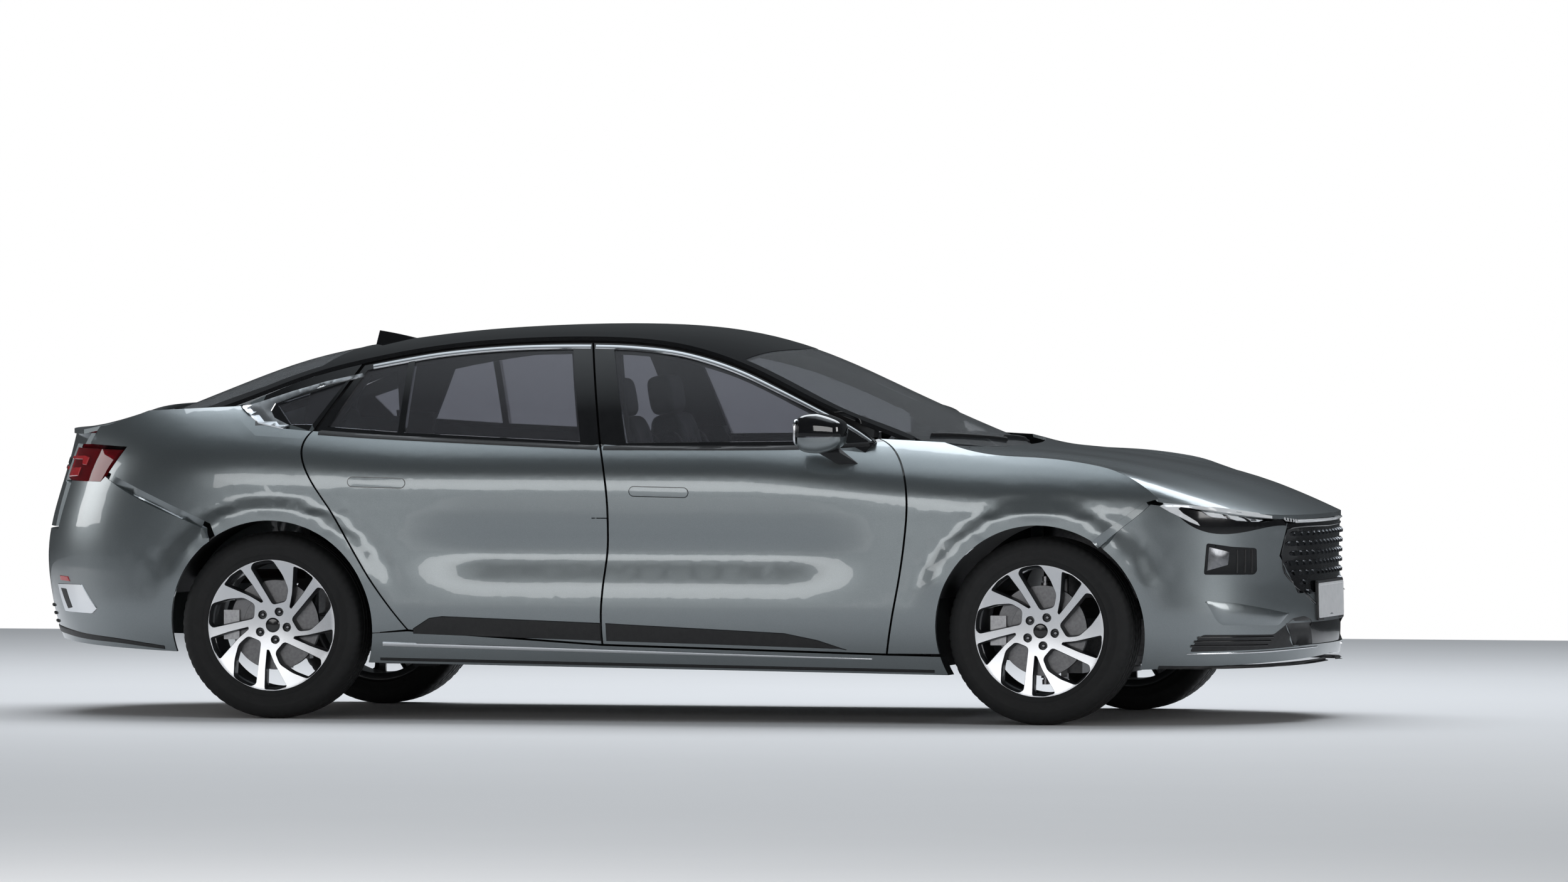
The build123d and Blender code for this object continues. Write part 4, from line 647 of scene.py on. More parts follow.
def nut_block(x, z, radius, height, sides=6):
    """A domed nut on the spoke face."""
    base = face_out(x, z) - 0.020
    rings = [
        (radius * 1.35, base), (radius * 1.35, base + 0.002), (radius, base + 0.004), (radius, base + height),
        (radius * 0.72, base + height + 0.003), (radius * 0.3, base + height + 0.004),
    ]
    points, faces = turned(rings, x, z, sides)
    faces.append(tuple((len(rings) - 1) * sides + k for k in range(sides)))
    return points, faces


def pocket_block(x, z, radius):
    """A dark cup round a nut."""
    top = face_out(x, z) + 0.0006
    return turned([
        (radius * 1.12, top), (radius, top + 0.0004), (radius * 0.92, top - 0.004),
        (radius * 0.9, top - 0.016),
        (0.0001, top - 0.016),
    ], x, z)


def dome_block(radius, low, rise):
    """The bare centre cap: a dished dome with a rolled edge."""
    return turned([
        (radius, low), (radius, low + rise * 0.5), (radius * 0.96, low + rise * 0.8),
        (radius * 0.8, low + rise),
        (radius * 0.78, low + rise * 0.86), (radius * 0.4, low + rise * 0.95), (0.0005, low + rise),
    ], turns=40)


def calliper_block():
    """A brake calliper over the disc's rear upper edge."""
    points = []
    stations = 9
    for i in range(stations):
        a = radians(118 + 6.5 * i)
        ease = sin(pi * (i + 0.6) / (stations + 0.2)) ** 0.35
        section = (
            (0.122, 0.014), (0.122, 0.047), (0.150, 0.050), (0.176 * (0.97 + 0.03 * ease), 0.048),
            (0.182 * (0.96 + 0.04 * ease), 0.034), (0.178, 0.014), (0.150, 0.010),
        )
        points += [(r * cos(a), r * sin(a), out) for r, out in section]
    n = len(section)
    faces = ring_faces(stations, n)
    return points, faces + [tuple(range(n)), tuple((stations - 1) * n + k for k in range(n))]


def wheel_piece(name, block, look, wheel, body=None):
    """A block of the wheel's own plane, set at one of the four wheels."""
    end, side, x, sign = wheel
    placed = [(x + p[0], sign * (WHEEL_Y + p[2]), WHEEL_Z + p[1]) for p in block[0]]
    piece = mesh_piece(f"{name}_{end}_{side}", (placed, block[1]), look, body or f"wheel_{end}_{side}")
    face_outward(piece.data)
    return piece


lip_block = lathe(LIP + [LIP[0]], 120)
tyre_shape = tyre_block()
nuts = join_blocks([nut_block(x, z, 0.0085, 0.014) for x, z in nut_places])
pockets = join_blocks([pocket_block(x, z, 0.0155) for x, z in nut_places])
cap = dome_block(0.0285, 0.078, 0.0085)
for wheel in WHEELS:
    end, side, x, sign = wheel
    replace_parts(wheel_piece("spokes", rim_front, machined, wheel), f"rim_{end}_{side}")
    wheel_piece("spoke_walls", rim_walls, wheel_grey, wheel)
    wheel_piece("rim_barrel", lip_block, wheel_grey, wheel)
    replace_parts(wheel_piece("tread_tyre", tyre_shape, rubber, wheel), f"tyre_{end}_{side}")
    wheel_piece("wheel_nuts", nuts, steel, wheel)
    wheel_piece("nut_cups", pockets, wheel_grey, wheel)
    carrier = f"knuckle_{side}" if end == "front" else "body"
    wheel_piece("calliper", calliper_block(), cast_iron, wheel, carrier)
    wheel_piece("hub_cap", cap, lamp_black, wheel)


# Body side: window surrounds, bright strips, handles, cladding, mirrors
BELT = [(-1.420, 1.088), (-1.265, 1.077), (-0.936, 1.058), (-0.146, 1.025), (0.561, 1.029), (0.935, 1.046)]
WINDOW_TOP = [
    (0.915, 1.052), (0.800, 1.124), (0.644, 1.213), (0.500, 1.283), (0.358, 1.334), (0.220, 1.369),
    (0.078, 1.394), (-0.090, 1.408), (-0.235, 1.412), (-0.380, 1.409), (-0.528, 1.400), (-0.680, 1.385),
    (-0.830, 1.366), (-0.965, 1.341), (-1.096, 1.309),
]


def along(points, x):
    """Height of a line of points at x."""
    ordered = sorted(points)
    for (x0, z0), (x1, z1) in zip(ordered, ordered[1:]):
        if x0 <= x <= x1:
            return z0 + (z1 - z0) * (x - x0) / (x1 - x0)
    return ordered[0][1] if x < ordered[0][0] else ordered[-1][1]


for end in ("front", "rear"):
    for side, sign in SIDES:
        mesh = nodes[f"door_{end}_{side}"].data
        mesh.materials.append(black_roof)
        mesh.materials.append(cabin_trim)
        for face in mesh.polygons:
            if face.center.z > along(BELT, face.center.x) + 0.001:
                face.material_index = 1
            elif face.normal.y * sign < -0.5:
                face.material_index = 2
mesh = nodes["quarter_panels"].data
mesh.materials.append(black_roof)
for face in mesh.polygons:
    if face.center.z > along(BELT, face.center.x) + 0.012 and face.center.x > -1.50:
        face.material_index = 1


def clipped(points, low, high):
    """The part of a line between two x values, with points added at the ends."""
    inner = [(x, z) for x, z in points if low < x < high]
    ends = sorted([(low, along(points, low)), (high, along(points, high))] + inner)
    return ends


def under_edge(view, points, drop):
    """A line set a drop below the panel's real upper edge, found from outside along the given points."""
    line = []
    for x, z in points:
        z += 0.030
        while z > 0.9 and not view.hit(x, z):
            z -= 0.002
        line.append((x, z - drop))
    return line


FRAME_DROP = 0.011
front_frame = View(AHEAD, UP, LEFT, "door_front_right")
rear_frame = View(AHEAD, UP, LEFT, "door_rear_right")
front_top = under_edge(front_frame, clipped(WINDOW_TOP, -0.222, 0.885), FRAME_DROP)
rear_top = under_edge(rear_frame, clipped(WINDOW_TOP, -1.075, -0.240), FRAME_DROP)
STRIP_LIFT, STRIP_SINK = 0.0035, 0.002
front_bright = strip(front_frame, front_top, [0.016, 0.017, 0.014], STRIP_LIFT, STRIP_SINK)
rear_bright = strip(rear_frame, rear_top, [0.017, 0.016], STRIP_LIFT, STRIP_SINK)
both("bright_front", front_bright, satin_chrome, "door_front_right")
both("bright_rear", rear_bright, satin_chrome, "door_rear_right")
WEDGE = [
    (-1.112, 1.293), (-1.250, 1.262), (-1.380, 1.224), (-1.500, 1.184), (-1.568, 1.166), (-1.478, 1.104),
    (-1.376, 1.083), (-1.368, 1.098), (-1.432, 1.126), (-1.448, 1.150), (-1.436, 1.176), (-1.340, 1.214),
    (-1.235, 1.248), (-1.106, 1.279),
]
wedge = patch(side_view, WEDGE, STRIP_LIFT, STRIP_SINK, 0.012, 0.0025, 0.002)
both("bright_wedge", wedge, satin_chrome, "body")
BELT_WIDTH = 0.020
seal_line = [(x, z - 0.004) for x, z in BELT]
for end, low, high in (("front", -0.133, 0.895), ("rear", -1.240, -0.156)):
    seal = strip(side_view, clipped(seal_line, low, high), BELT_WIDTH, STRIP_LIFT)
    both(f"belt_{end}", seal, black_trim, f"door_{end}_right")


def bridge(view, path, half, sink, rows=6):
    """A backing laid under a seam: both edges follow the panels beside it and the middle spans the gap."""
    line = resample(path, 0.012)
    points = []
    for i, (u, v) in enumerate(line):
        nu, nv = side_step(line, i)
        low = view.drop(u - nu * half, v - nv * half, -sink)[0]
        high = view.drop(u + nu * half, v + nv * half, -sink)[0]
        points += [low.lerp(high, k / rows) for k in range(rows + 1)]
    return points, ribbon_faces(len(line), rows)


SEAMS = {
    "rear": [(-1.664, 0.738), (-1.80, 0.796), (-1.95, 0.858), (-2.07, 0.907)],
    "front": [(1.758, 0.678), (1.806, 0.718), (1.880, 0.776), (1.950, 0.828)],
}
SEAM_HALF, SEAM_SINK = 0.022, 0.0022
for end, path in SEAMS.items():
    both(f"bumper_seam_{end}", bridge(side_view, path, SEAM_HALF, SEAM_SINK), body_paint, "body")


def stadium(x0, x1, z0, z1, height, grow=0.0):
    """A long rounded outline between two ends, slightly sloped."""
    half = height / 2 + grow
    ring = []
    for x, z, start in ((x1 - height / 2, z1, -pi / 2), (x0 + height / 2, z0, pi / 2)):
        turns = [start + pi * k / 12 for k in range(13)]
        ring += [(x + half * cos(a), z + half * sin(a)) for a in turns]
    return ring


HANDLES = {"front": (-0.019, 0.210, 0.861, 0.857), "rear": (-1.106, -0.882, 0.890, 0.886)}
HANDLE_HIGH = 0.038
for end, spot in HANDLES.items():
    # The dark ring round each grip is painted shade: a black sheet laid where the gap round the handle lies
    # in shade.
    gap = patch(side_view, stadium(*spot, HANDLE_HIGH, 0.0018), 0.0007, 0.002, 0.012, 0.001)
    grip = patch(side_view, stadium(*spot, HANDLE_HIGH, -0.0008), 0.0022, 0.0, 0.010, 0.0016, 0.0012)
    both(f"handle_gap_{end}", gap, lamp_black, f"door_{end}_right")
    both(f"handle_{end}", grip, body_paint, f"door_{end}_right")

CLAD_TOP = [
    (-0.861, 0.340), (-0.791, 0.384), (-0.740, 0.391), (-0.134, 0.370), (0.574, 0.337), (0.700, 0.312),
    (0.814, 0.275),
]
DOOR_FOOT = [(-0.877, 0.318), (-0.127, 0.296), (0.963, 0.270)]


def cladding(low, high):
    top = clipped(CLAD_TOP, low, high)
    foot = [(x, along(DOOR_FOOT, x) + 0.004) for x in (high, (low + high) / 2, low)]
    return top + [p for p in foot if p[1] < along(CLAD_TOP, p[0]) - 0.003]


for end, low, high in (("front", -0.112, 0.812), ("rear", -0.856, -0.128)):
    cover = patch(side_view, cladding(low, high), 0.005, 0.002, 0.025, 0.004)
    both(f"cladding_{end}", cover, grey_trim, f"door_{end}_right")
SILL_STRIP = [(-0.975, 0.283), (-0.40, 0.270), (0.40, 0.252), (0.905, 0.241)]
SILL_EDGE = [(-0.99, 0.226), (0.0, 0.212), (1.14, 0.196)]
both("sill_strip", strip(side_view, SILL_STRIP, [0.020, 0.016, 0.006], 0.004, 0.002), satin_chrome, "body")
both("sill_edge", strip(side_view, SILL_EDGE, 0.014, 0.002, 0.002), black_trim, "body")


# Door mirrors: black cap, painted underside, faceted arm and the glass behind
def power(value, exponent):
    return (1 if value >= 0 else -1) * abs(value) ** exponent


def squared_ball(square, rows, turns):
    """Points of a ball of radius 1 with its sides flattened, row by row from the lowest."""
    for i in range(rows + 1):
        phi = -pi / 2 + pi * i / rows
        for k in range(turns):
            theta = 2 * pi * k / turns
            flat = power(cos(phi), square)
            yield flat * power(cos(theta), square), flat * power(sin(theta), square), power(sin(phi), square)


def ball(centre, size, square, keep, turn=0.0, rows=28, turns=40):
    """A squared ball, or the part of it that keep allows."""
    points = []
    for place in squared_ball(square, rows, turns):
        px, py, pz = [p * s / 2 for p, s in zip(keep(*place), size)]
        x = centre[0] + px * cos(turn) - py * sin(turn)
        y = centre[1] + px * sin(turn) + py * cos(turn)
        points.append((x, y, centre[2] + pz))
    return points, ring_faces(rows + 1, turns)


MIRROR = (0.722, -0.938, 1.082)


def cap_keep(x, y, z):
    z = max(z, -0.16)
    front = 1 - 0.30 * max(0.0, x) * max(0.0, z)
    return max(x, -0.80), y * (0.94 + 0.06 * x), z * front


def base_keep(x, y, z):
    z = min(z, -0.20)
    return max(x, -0.76) * 0.98, y * 0.975, z * (1 - 0.25 * max(0.0, x))


def clean(points, faces):
    """Points merged and faces turned outward."""
    shape = bmesh.new()
    made = [shape.verts.new(p) for p in points]
    for f in faces:
        try_face = [made[i] for i in dict.fromkeys(f)]
        if len(try_face) > 2 and shape.faces.get(try_face) is None:
            shape.faces.new(try_face)
    bmesh.ops.remove_doubles(shape, verts=shape.verts, dist=2e-5)
    bmesh.ops.dissolve_degenerate(shape, edges=shape.edges, dist=1e-5)
    return lists_of(shape)


def hull(points):
    """The smallest closed shape round some points."""
    shape = bmesh.new()
    for p in points:
        shape.verts.new(p)
    bmesh.ops.convex_hull(shape, input=shape.verts)
    loose = [v for v in shape.verts if not v.link_faces]
    bmesh.ops.delete(shape, geom=loose, context="VERTS")
    return lists_of(shape)


MIRROR_TURN = -0.12
MIRROR_SIZE, MIRROR_SQUARE = (0.195, 0.150, 0.150), 0.62
glass_place = (MIRROR[0] - 0.083, MIRROR[1] + 0.006, MIRROR[2] + 0.004)
cap_shape = clean(*ball(MIRROR, MIRROR_SIZE, MIRROR_SQUARE, cap_keep, MIRROR_TURN))
base_shape = clean(*ball(MIRROR, MIRROR_SIZE, MIRROR_SQUARE, base_keep, MIRROR_TURN))
glass_shape = clean(*ball(glass_place, (0.014, 0.122, 0.100), 0.5, lambda *place: place, MIRROR_TURN))
arm_shape = hull([
    (0.700, -0.905, 1.030), (0.775, -0.905, 1.035), (0.800, -0.872, 1.000), (0.852, -0.872, 0.966),
    (0.790, -0.873, 0.955), (0.742, -0.876, 0.985), (0.690, -0.900, 1.015), (0.790, -0.920, 1.010),
    (0.730, -0.925, 1.010),
])
for side, sign in SIDES:
    piece = mesh_piece(f"mirror_cap_{side}", cap_shape, black_roof, f"door_front_{side}", sign == 1)
    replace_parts(piece, f"mirror_{side}")
both("mirror_base", base_shape, body_paint, "door_front_right")
both("mirror_glass", glass_shape, satin_chrome, "door_front_right")
both("mirror_arm", arm_shape, grey_trim, "door_front_right")


# Cabin: padded seats and door trim
CHANNEL_WIDTH = 0.035


def pillow(centre, size, tilt=0.0, square=0.32, channels=(), depth=0.006, crown=0.0):
    """A crowned cushion: a rounded box with sewn channels along it. Tilt turns it about the car's width."""
    rows, turns = 40, 64
    points = []
    for x, y, z in squared_ball(square, rows, turns):
        swell = 1 + crown * (1 - min(1.0, abs(x)) ** 2) * (1 - min(1.0, abs(y)) ** 2)
        groove = sum(depth * exp(-(((y - c) / CHANNEL_WIDTH) ** 2)) for c in channels)
        px, py = x * size[0] / 2, y * size[1] / 2
        pz = z * size[2] / 2 * swell - (groove if z > 0.5 else 0.0)
        along_x = centre[0] + px * cos(tilt) + pz * sin(tilt)
        points.append((along_x, centre[1] + py, centre[2] - px * sin(tilt) + pz * cos(tilt)))
    return points, ring_faces(rows + 1, turns)


def seat_piece(name, blocks, node):
    """Cushions sewn into one padded piece that stands for a CAD seat."""
    piece = mesh_piece(name, join_blocks(blocks), seat_leather, "body")
    face_outward(piece.data, 1e-6)
    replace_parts(piece, node)


FRONT_SEAT_Y, REAR_SEAT_Y = 0.37, 0.34
for side, sign in SIDES:
    y = sign * FRONT_SEAT_Y
    rear_y = sign * REAR_SEAT_Y
    seat_piece(f"front_cushion_{side}", [
        pillow((0.175, y, 0.445), (0.50, 0.36, 0.14), -0.05, 0.34, (-0.33, 0.33), 0.008, 0.14),
        *(pillow((0.185, y + over, 0.452), (0.48, 0.09, 0.13), -0.05, 0.5) for over in (-0.215, 0.215)),
        pillow((0.17, y, 0.325), (0.46, 0.42, 0.14), 0.0, 0.2),
    ], "front_seats")
    seat_piece(f"front_back_{side}", [
        pillow((-0.115, y, 0.82), (0.62, 0.34, 0.13), 1.37, 0.34, (-0.33, 0.33), 0.008, 0.12),
        *(pillow((-0.105, y + over, 0.80), (0.52, 0.085, 0.15), 1.37, 0.5) for over in (-0.195, 0.195)),
    ], "front_seats")
    seat_piece(f"front_headrest_{side}", [
        pillow((-0.195, y, 1.195), (0.15, 0.26, 0.095), 1.40, 0.45, (), 0.0, 0.1),
        *(pillow((-0.185, y + over, 1.115), (0.10, 0.014, 0.014), 1.40, 0.8) for over in (-0.05, 0.05)),
    ], "front_seats")
    seat_piece(f"rear_cushion_{side}", [
        pillow((-0.845, rear_y, 0.475), (0.42, 0.50, 0.13), -0.06, 0.33, (-0.3, 0.3), 0.008, 0.1),
        pillow((-0.82, rear_y, 0.34), (0.33, 0.52, 0.19), 0.0, 0.2),
    ], "rear_bench")
    seat_piece(f"rear_back_{side}", [
        pillow((-1.165, rear_y, 0.755), (0.46, 0.48, 0.13), 1.31, 0.33, (-0.3, 0.3), 0.008, 0.1),
        pillow((-1.258, rear_y, 0.985), (0.12, 0.25, 0.08), 1.35, 0.5),
    ], "rear_bench")
seat_piece("rear_middle", [
    pillow((-0.845, 0, 0.475), (0.40, 0.19, 0.125), -0.06, 0.4),
    pillow((-1.165, 0, 0.755), (0.44, 0.19, 0.125), 1.31, 0.4),
], "rear_bench")

CARD_DEEPEST = 0.875
SPEAKER_R, SPEAKER_Z = 0.07, 0.52
CARDS = {
    "front": (
        [(-0.14, 0.40), (0.78, 0.38), (0.86, 0.60), (0.84, 0.96), (-0.12, 0.98)],
        [(-0.08, 0.70), (0.30, 0.69), (0.62, 0.73)],
    ),
    "rear": (
        [(-0.80, 0.45), (-0.22, 0.41), (-0.24, 0.98), (-1.02, 1.00), (-1.06, 0.86)],
        [(-0.92, 0.73), (-0.62, 0.71), (-0.30, 0.72)],
    ),
}
for end, (card, rest) in CARDS.items():
    door = f"door_{end}_right"
    view = View(AHEAD, UP, -LEFT, door, deepest=CARD_DEEPEST)
    grille = circle(rest[-1][0] - 0.04, SPEAKER_Z, SPEAKER_R, 24)
    board = patch(view, rounded(card, 0.05), 0.004, 0.002, 0.04, 0.004, 0.004)
    both(f"door_card_{end}", board, cabin_trim, door)
    both(f"armrest_{end}", strip(view, rest, [0.07, 0.085, 0.05], 0.008, 0.001, 8), seat_leather, door)
    both(f"door_speaker_{end}", patch(view, grille, 0.0095, 0.0, 0.02, 0.004), black_trim, door)


# Nose: lamps, grille studs, side pods, intake, plate
NOSE_NODES = ("front_bumper", "grille", "hood", "headlamps")
TAIL_NODES = ("tail_lamps", "rear_bumper", "trunk_lid", "quarter_panels")
nose_view = View((0.6, 0.8, 0), UP, (-0.8, 0.6, 0), *NOSE_NODES, "fenders", deepest=-1.75)
front_view = View(LEFT, UP, -AHEAD, *NOSE_NODES, deepest=-2.2)
tail_view = View((0.6, -0.8, 0), UP, (0.8, 0.6, 0), *TAIL_NODES, deepest=-1.75)
back_view = View(LEFT, UP, AHEAD, *TAIL_NODES, deepest=-2.15)


def crossing(reach, inner, end_z, inner_z, middle_z):
    """A line across the car, the same on both sides."""
    return [(-reach, end_z), (-inner, inner_z), (0, middle_z), (inner, inner_z), (reach, end_z)]


DAY_LIGHT = [
    (0.512, 0.816), (0.534, 0.829), (0.633, 0.819), (0.793, 0.801), (0.985, 0.775), (0.985, 0.763),
    (0.855, 0.775), (0.677, 0.800), (0.582, 0.812), (0.575, 0.806), (0.590, 0.790), (0.640, 0.757),
    (0.650, 0.743), (0.642, 0.744), (0.611, 0.757), (0.545, 0.793),
]
BEAMS = (
    [(0.653, 0.797), (0.741, 0.787), (0.759, 0.766), (0.697, 0.772), (0.677, 0.780)],
    [(0.747, 0.786), (0.831, 0.775), (0.851, 0.754), (0.800, 0.757), (0.766, 0.766)],
    [(0.837, 0.774), (0.935, 0.762), (0.905, 0.752), (0.862, 0.753)],
)
TICKS = [1.056, 1.075, 1.094, 1.112, 1.128]


def tick(s):
    """One of the slanted bars at the lamp's inner end."""
    fall = s - TICKS[0]
    top, foot = 0.767 - 0.11 * fall, 0.753 - 0.10 * fall
    outline = [(s, top), (s + 0.006, top), (s + 0.009, foot), (s + 0.003, foot)]
    return patch(nose_view, outline, 0.003, 0.001, 0.004, 0.0008)


both("day_light", patch(nose_view, DAY_LIGHT, 0.0040, 0.001, 0.010, 0.0014, 0.0010), lamp_white, "body")
CORE_SHARE = 0.86
for number, beam in enumerate(BEAMS):
    both(f"beam_rim_{number}", patch(nose_view, beam, 0.0022, 0.001, 0.010, 0.001), dark_chrome, "body")
    middle = sum((Vector(q) for q in beam), Vector((0, 0))) / len(beam)
    core = [tuple(Vector(p).lerp(middle, 1 - CORE_SHARE)) for p in beam]
    both(f"beam_{number}", patch(nose_view, core, 0.0050, 0.0, 0.010, 0.002, 0.0015), lamp_white, "body")
both("tick_lights", join_blocks([tick(s) for s in TICKS]), lamp_white, "body")
bar_line = crossing(0.385, 0.2, 0.7510, 0.7500, 0.7495)
mesh_piece("light_bar", strip(front_view, bar_line, 0.013, 0.0035, 0.001), lamp_white, "body")

GRILLE = [
    (-0.405, 0.727), (0.405, 0.727), (0.462, 0.688), (0.470, 0.562), (0.300, 0.474), (-0.300, 0.474),
    (-0.470, 0.562), (-0.462, 0.688),
]
STUD_ROWS, STUD_TOP, STUD_DROP = 7, 0.706, 0.0365
STUD_PITCH, STUD_WIDE, STUD_HIGH, STUD_RISE = 0.056, 0.046, 0.0185, 0.013
PLATE_KEEP_Y, PLATE_KEEP_Z = 0.262, 0.546


def stud(y, z, wide, high, rise):
    """One lozenge stud: six base points and a ridge that overhangs its lower edge."""
    ring = [(-0.5, 0.10), (-0.30, 0.5), (0.32, 0.5), (0.5, 0.10), (0.30, -0.5), (-0.32, -0.5)]
    points = [front_view.drop(y + a * wide, z + b * high, -0.002)[0] for a, b in ring]
    for a, b in ring:
        height = rise * (0.55 if b > 0.3 else 1.0)
        points.append(front_view.drop(y + a * wide * 0.90, z + b * high * 0.90 - 0.1 * high, height)[0])
    faces = [(k, (k + 1) % 6, 6 + (k + 1) % 6, 6 + k) for k in range(6)]
    return points, faces + [(6, 7, 8, 11), (8, 9, 10, 11)]


studs = []
for row in range(STUD_ROWS):
    z = STUD_TOP - STUD_DROP * row
    for column in range(-9, 10):
        y = (column + 0.5 * (row % 2)) * STUD_PITCH
        wide = STUD_WIDE * (0.72 + 0.28 * min(1.0, abs(y) / 0.4))
        corners = [(y + dy, z + dz) for dy in (-wide / 2, wide / 2) for dz in (-0.010, 0.010)]
        beside_plate = abs(y) > PLATE_KEEP_Y or z > PLATE_KEEP_Z
        if beside_plate and all(inside(corner, GRILLE) for corner in corners):
            studs.append(stud(y, z, wide, STUD_HIGH, STUD_RISE))
mesh_piece("grille_studs", join_blocks(studs), dark_chrome, "body")
GRILLE_EDGE = [(0.0, 0.7285), (0.405, 0.7285), (0.464, 0.689), (0.472, 0.561), (0.300, 0.470), (0.23, 0.440)]
for side, sign in SIDES:
    edge = strip(front_view, [(sign * y, z) for y, z in GRILLE_EDGE], 0.010, 0.004, 0.002, 6, 0.02)
    mesh_piece(f"grille_frame_{side}", edge, lamp_black, "body")

POD = [
    (0.674, 0.679), (0.779, 0.664), (0.895, 0.657), (0.898, 0.570), (0.883, 0.556), (0.664, 0.559),
    (0.670, 0.630),
]
POD_LENS = [(0.680, 0.667), (0.768, 0.646), (0.762, 0.594), (0.673, 0.572)]
POD_FINS = (0.800, 0.836, 0.868)
FACET = [
    (0.660, 0.462), (0.675, 0.471), (0.790, 0.463), (1.085, 0.417), (1.083, 0.405), (1.020, 0.357),
    (0.737, 0.363), (0.707, 0.385),
]
INTAKE = [
    (0.630, 0.272), (0.648, 0.320), (0.668, 0.338), (0.990, 0.334), (1.105, 0.392), (1.185, 0.398),
    (1.243, 0.385), (1.275, 0.288), (0.957, 0.277),
]
SLATS = (0.325, 0.310, 0.294)
LIP_EDGE = [(0.622, 0.266), (0.80, 0.267), (0.959, 0.270), (1.15, 0.276), (1.30, 0.279)]
LIP_FOOT = [(0.540, 0.216), (0.70, 0.214), (0.95, 0.216), (1.20, 0.222), (1.40, 0.228)]
lens = patch(nose_view, rounded(POD_LENS, 0.006), 0.0058, 0.0, 0.012, 0.003, 0.003)
fin_lines = [[(s, 0.652), (s + 0.001, 0.610), (s, 0.566)] for s in POD_FINS]
fins = [strip(nose_view, line, 0.009, 0.0065, 0.0, 4, 0.02) for line in fin_lines]
facet = patch(nose_view, rounded(FACET, 0.020), 0.0012, 0.003, 0.018, 0.012, 0.004)
slat_lines = [
    [(0.650 - 0.010 * k, z + 0.001), (0.80, z), (0.985 - 0.012 * k, z - 0.001)] for k, z in enumerate(SLATS)
]
slats = [strip(nose_view, line, 0.010, 0.006, 0.0, 5) for line in slat_lines]
mouth = patch(nose_view, rounded(INTAKE, 0.012), 0.0016, 0.002, 0.018, 0.002)
both("pod_face", patch(nose_view, rounded(POD, 0.012), 0.0030, 0.002, 0.014, 0.0025), lamp_black, "body")
both("pod_lens", lens, dark_chrome, "body")
both("pod_fins", join_blocks(fins), black_trim, "body")
both("bumper_facet", facet, body_paint, "body")
both("intake_mouth", mouth, black_trim, "body")
both("intake_slats", join_blocks(slats), lamp_black, "body")
both("lip_edge", strip(nose_view, LIP_EDGE, [0.006, 0.009, 0.006], 0.005, 0.002), satin_chrome, "body")
both("lip_foot", strip(nose_view, LIP_FOOT, 0.014, 0.003, 0.002), black_trim, "body")

PLATE_X, PLATE_Z, PLATE_TILT = 2.458, 0.450, 0.02
PLATE_RINGS = (
    (-0.5, 0.0, 0.0), (0.5, -0.001, 0.0), (0.5, 0.0, 0.001), (0.5, 0.0, 0.008), (0.5, -0.0012, 0.0095),
)


def plate(name, wide, high, deep, ahead, look):
    """A board of the blank registration plate on the nose, with a rolled edge."""
    corners = [(-wide / 2, -high / 2), (wide / 2, -high / 2), (wide / 2, high / 2), (-wide / 2, high / 2)]
    outline = rounded(corners, 0.012)
    points = []
    for share, step, shrunk in PLATE_RINGS:
        for y, up in shrink(outline, shrunk):
            points.append((PLATE_X + deep * share + step + ahead - PLATE_TILT * up, y, PLATE_Z + up))
    n = len(outline)
    faces = ring_faces(len(PLATE_RINGS), n)
    faces += [tuple(range(n)), tuple((len(PLATE_RINGS) - 1) * n + i for i in range(n))]
    mesh_piece(name, clean(points, faces), look, "body")


plate("front_plate_holder", 0.452, 0.150, 0.010, 0.0, black_trim)
plate("front_plate_blank", 0.432, 0.130, 0.004, 0.0065, plate_white)

# Tail: lamps, bright corner trim, reflectors, diffuser
LAMP_BAR = [
    (-1.000, 0.972), (-0.840, 0.976), (-0.800, 0.970), (-0.806, 0.940), (-0.840, 0.941), (-0.852, 0.960),
    (-0.990, 0.959),
]
LAMP_BLOCK = [(-0.960, 0.930), (-0.850, 0.932), (-0.858, 0.898), (-0.968, 0.893)]
REFLECTOR = [(-0.930, 0.523), (-0.856, 0.521), (-0.840, 0.501), (-0.926, 0.503)]
CORNER = [
    (-0.965, 0.492), (-0.755, 0.494), (-0.672, 0.402), (-0.706, 0.382), (-0.862, 0.384), (-0.920, 0.386),
]
CORNER_SLOT = [(-0.930, 0.478), (-0.872, 0.476), (-0.835, 0.402), (-0.880, 0.396)]
REAR_FOOT = [(-0.43, 0.262), (-0.60, 0.283), (-0.80, 0.296), (-1.00, 0.312), (-1.20, 0.318), (-1.43, 0.322)]
DIFFUSER_ROWS = (0.345, 0.375, 0.405)
both("lamp_bar", patch(tail_view, LAMP_BAR, 0.0035, 0.001, 0.010, 0.002, 0.001), lamp_red, "body")
both("lamp_block", patch(tail_view, LAMP_BLOCK, 0.0035, 0.001, 0.010, 0.003, 0.0015), lamp_red, "body")
both("reflector", patch(tail_view, REFLECTOR, 0.003, 0.001, 0.008, 0.002), lamp_red, "body")
corner = patch(tail_view, rounded(CORNER, 0.008), 0.0032, 0.002, 0.014, 0.003)
opening = patch(tail_view, rounded(CORNER_SLOT, 0.006), 0.0042, 0.001, 0.012, 0.003)
both("corner_trim", corner, satin_chrome, "body")
both("corner_slot", opening, black_trim, "body")
both("rear_foot", strip(tail_view, REAR_FOOT, [0.016, 0.030, 0.040], 0.0035, 0.002), black_trim, "body")
lit_line = crossing(0.455, 0.25, 0.925, 0.928, 0.929)
dark_line = crossing(0.460, 0.25, 0.950, 0.953, 0.954)
ribs = [strip(back_view, crossing(0.42, 0.2, z, z, z), 0.012, 0.008, 0.002) for z in DIFFUSER_ROWS]
mesh_piece("tail_strip", strip(back_view, lit_line, 0.016, 0.004, 0.002), lamp_red, "trunk_lid")
mesh_piece("tail_band", strip(back_view, dark_line, 0.030, 0.0025, 0.002), lamp_black, "trunk_lid")
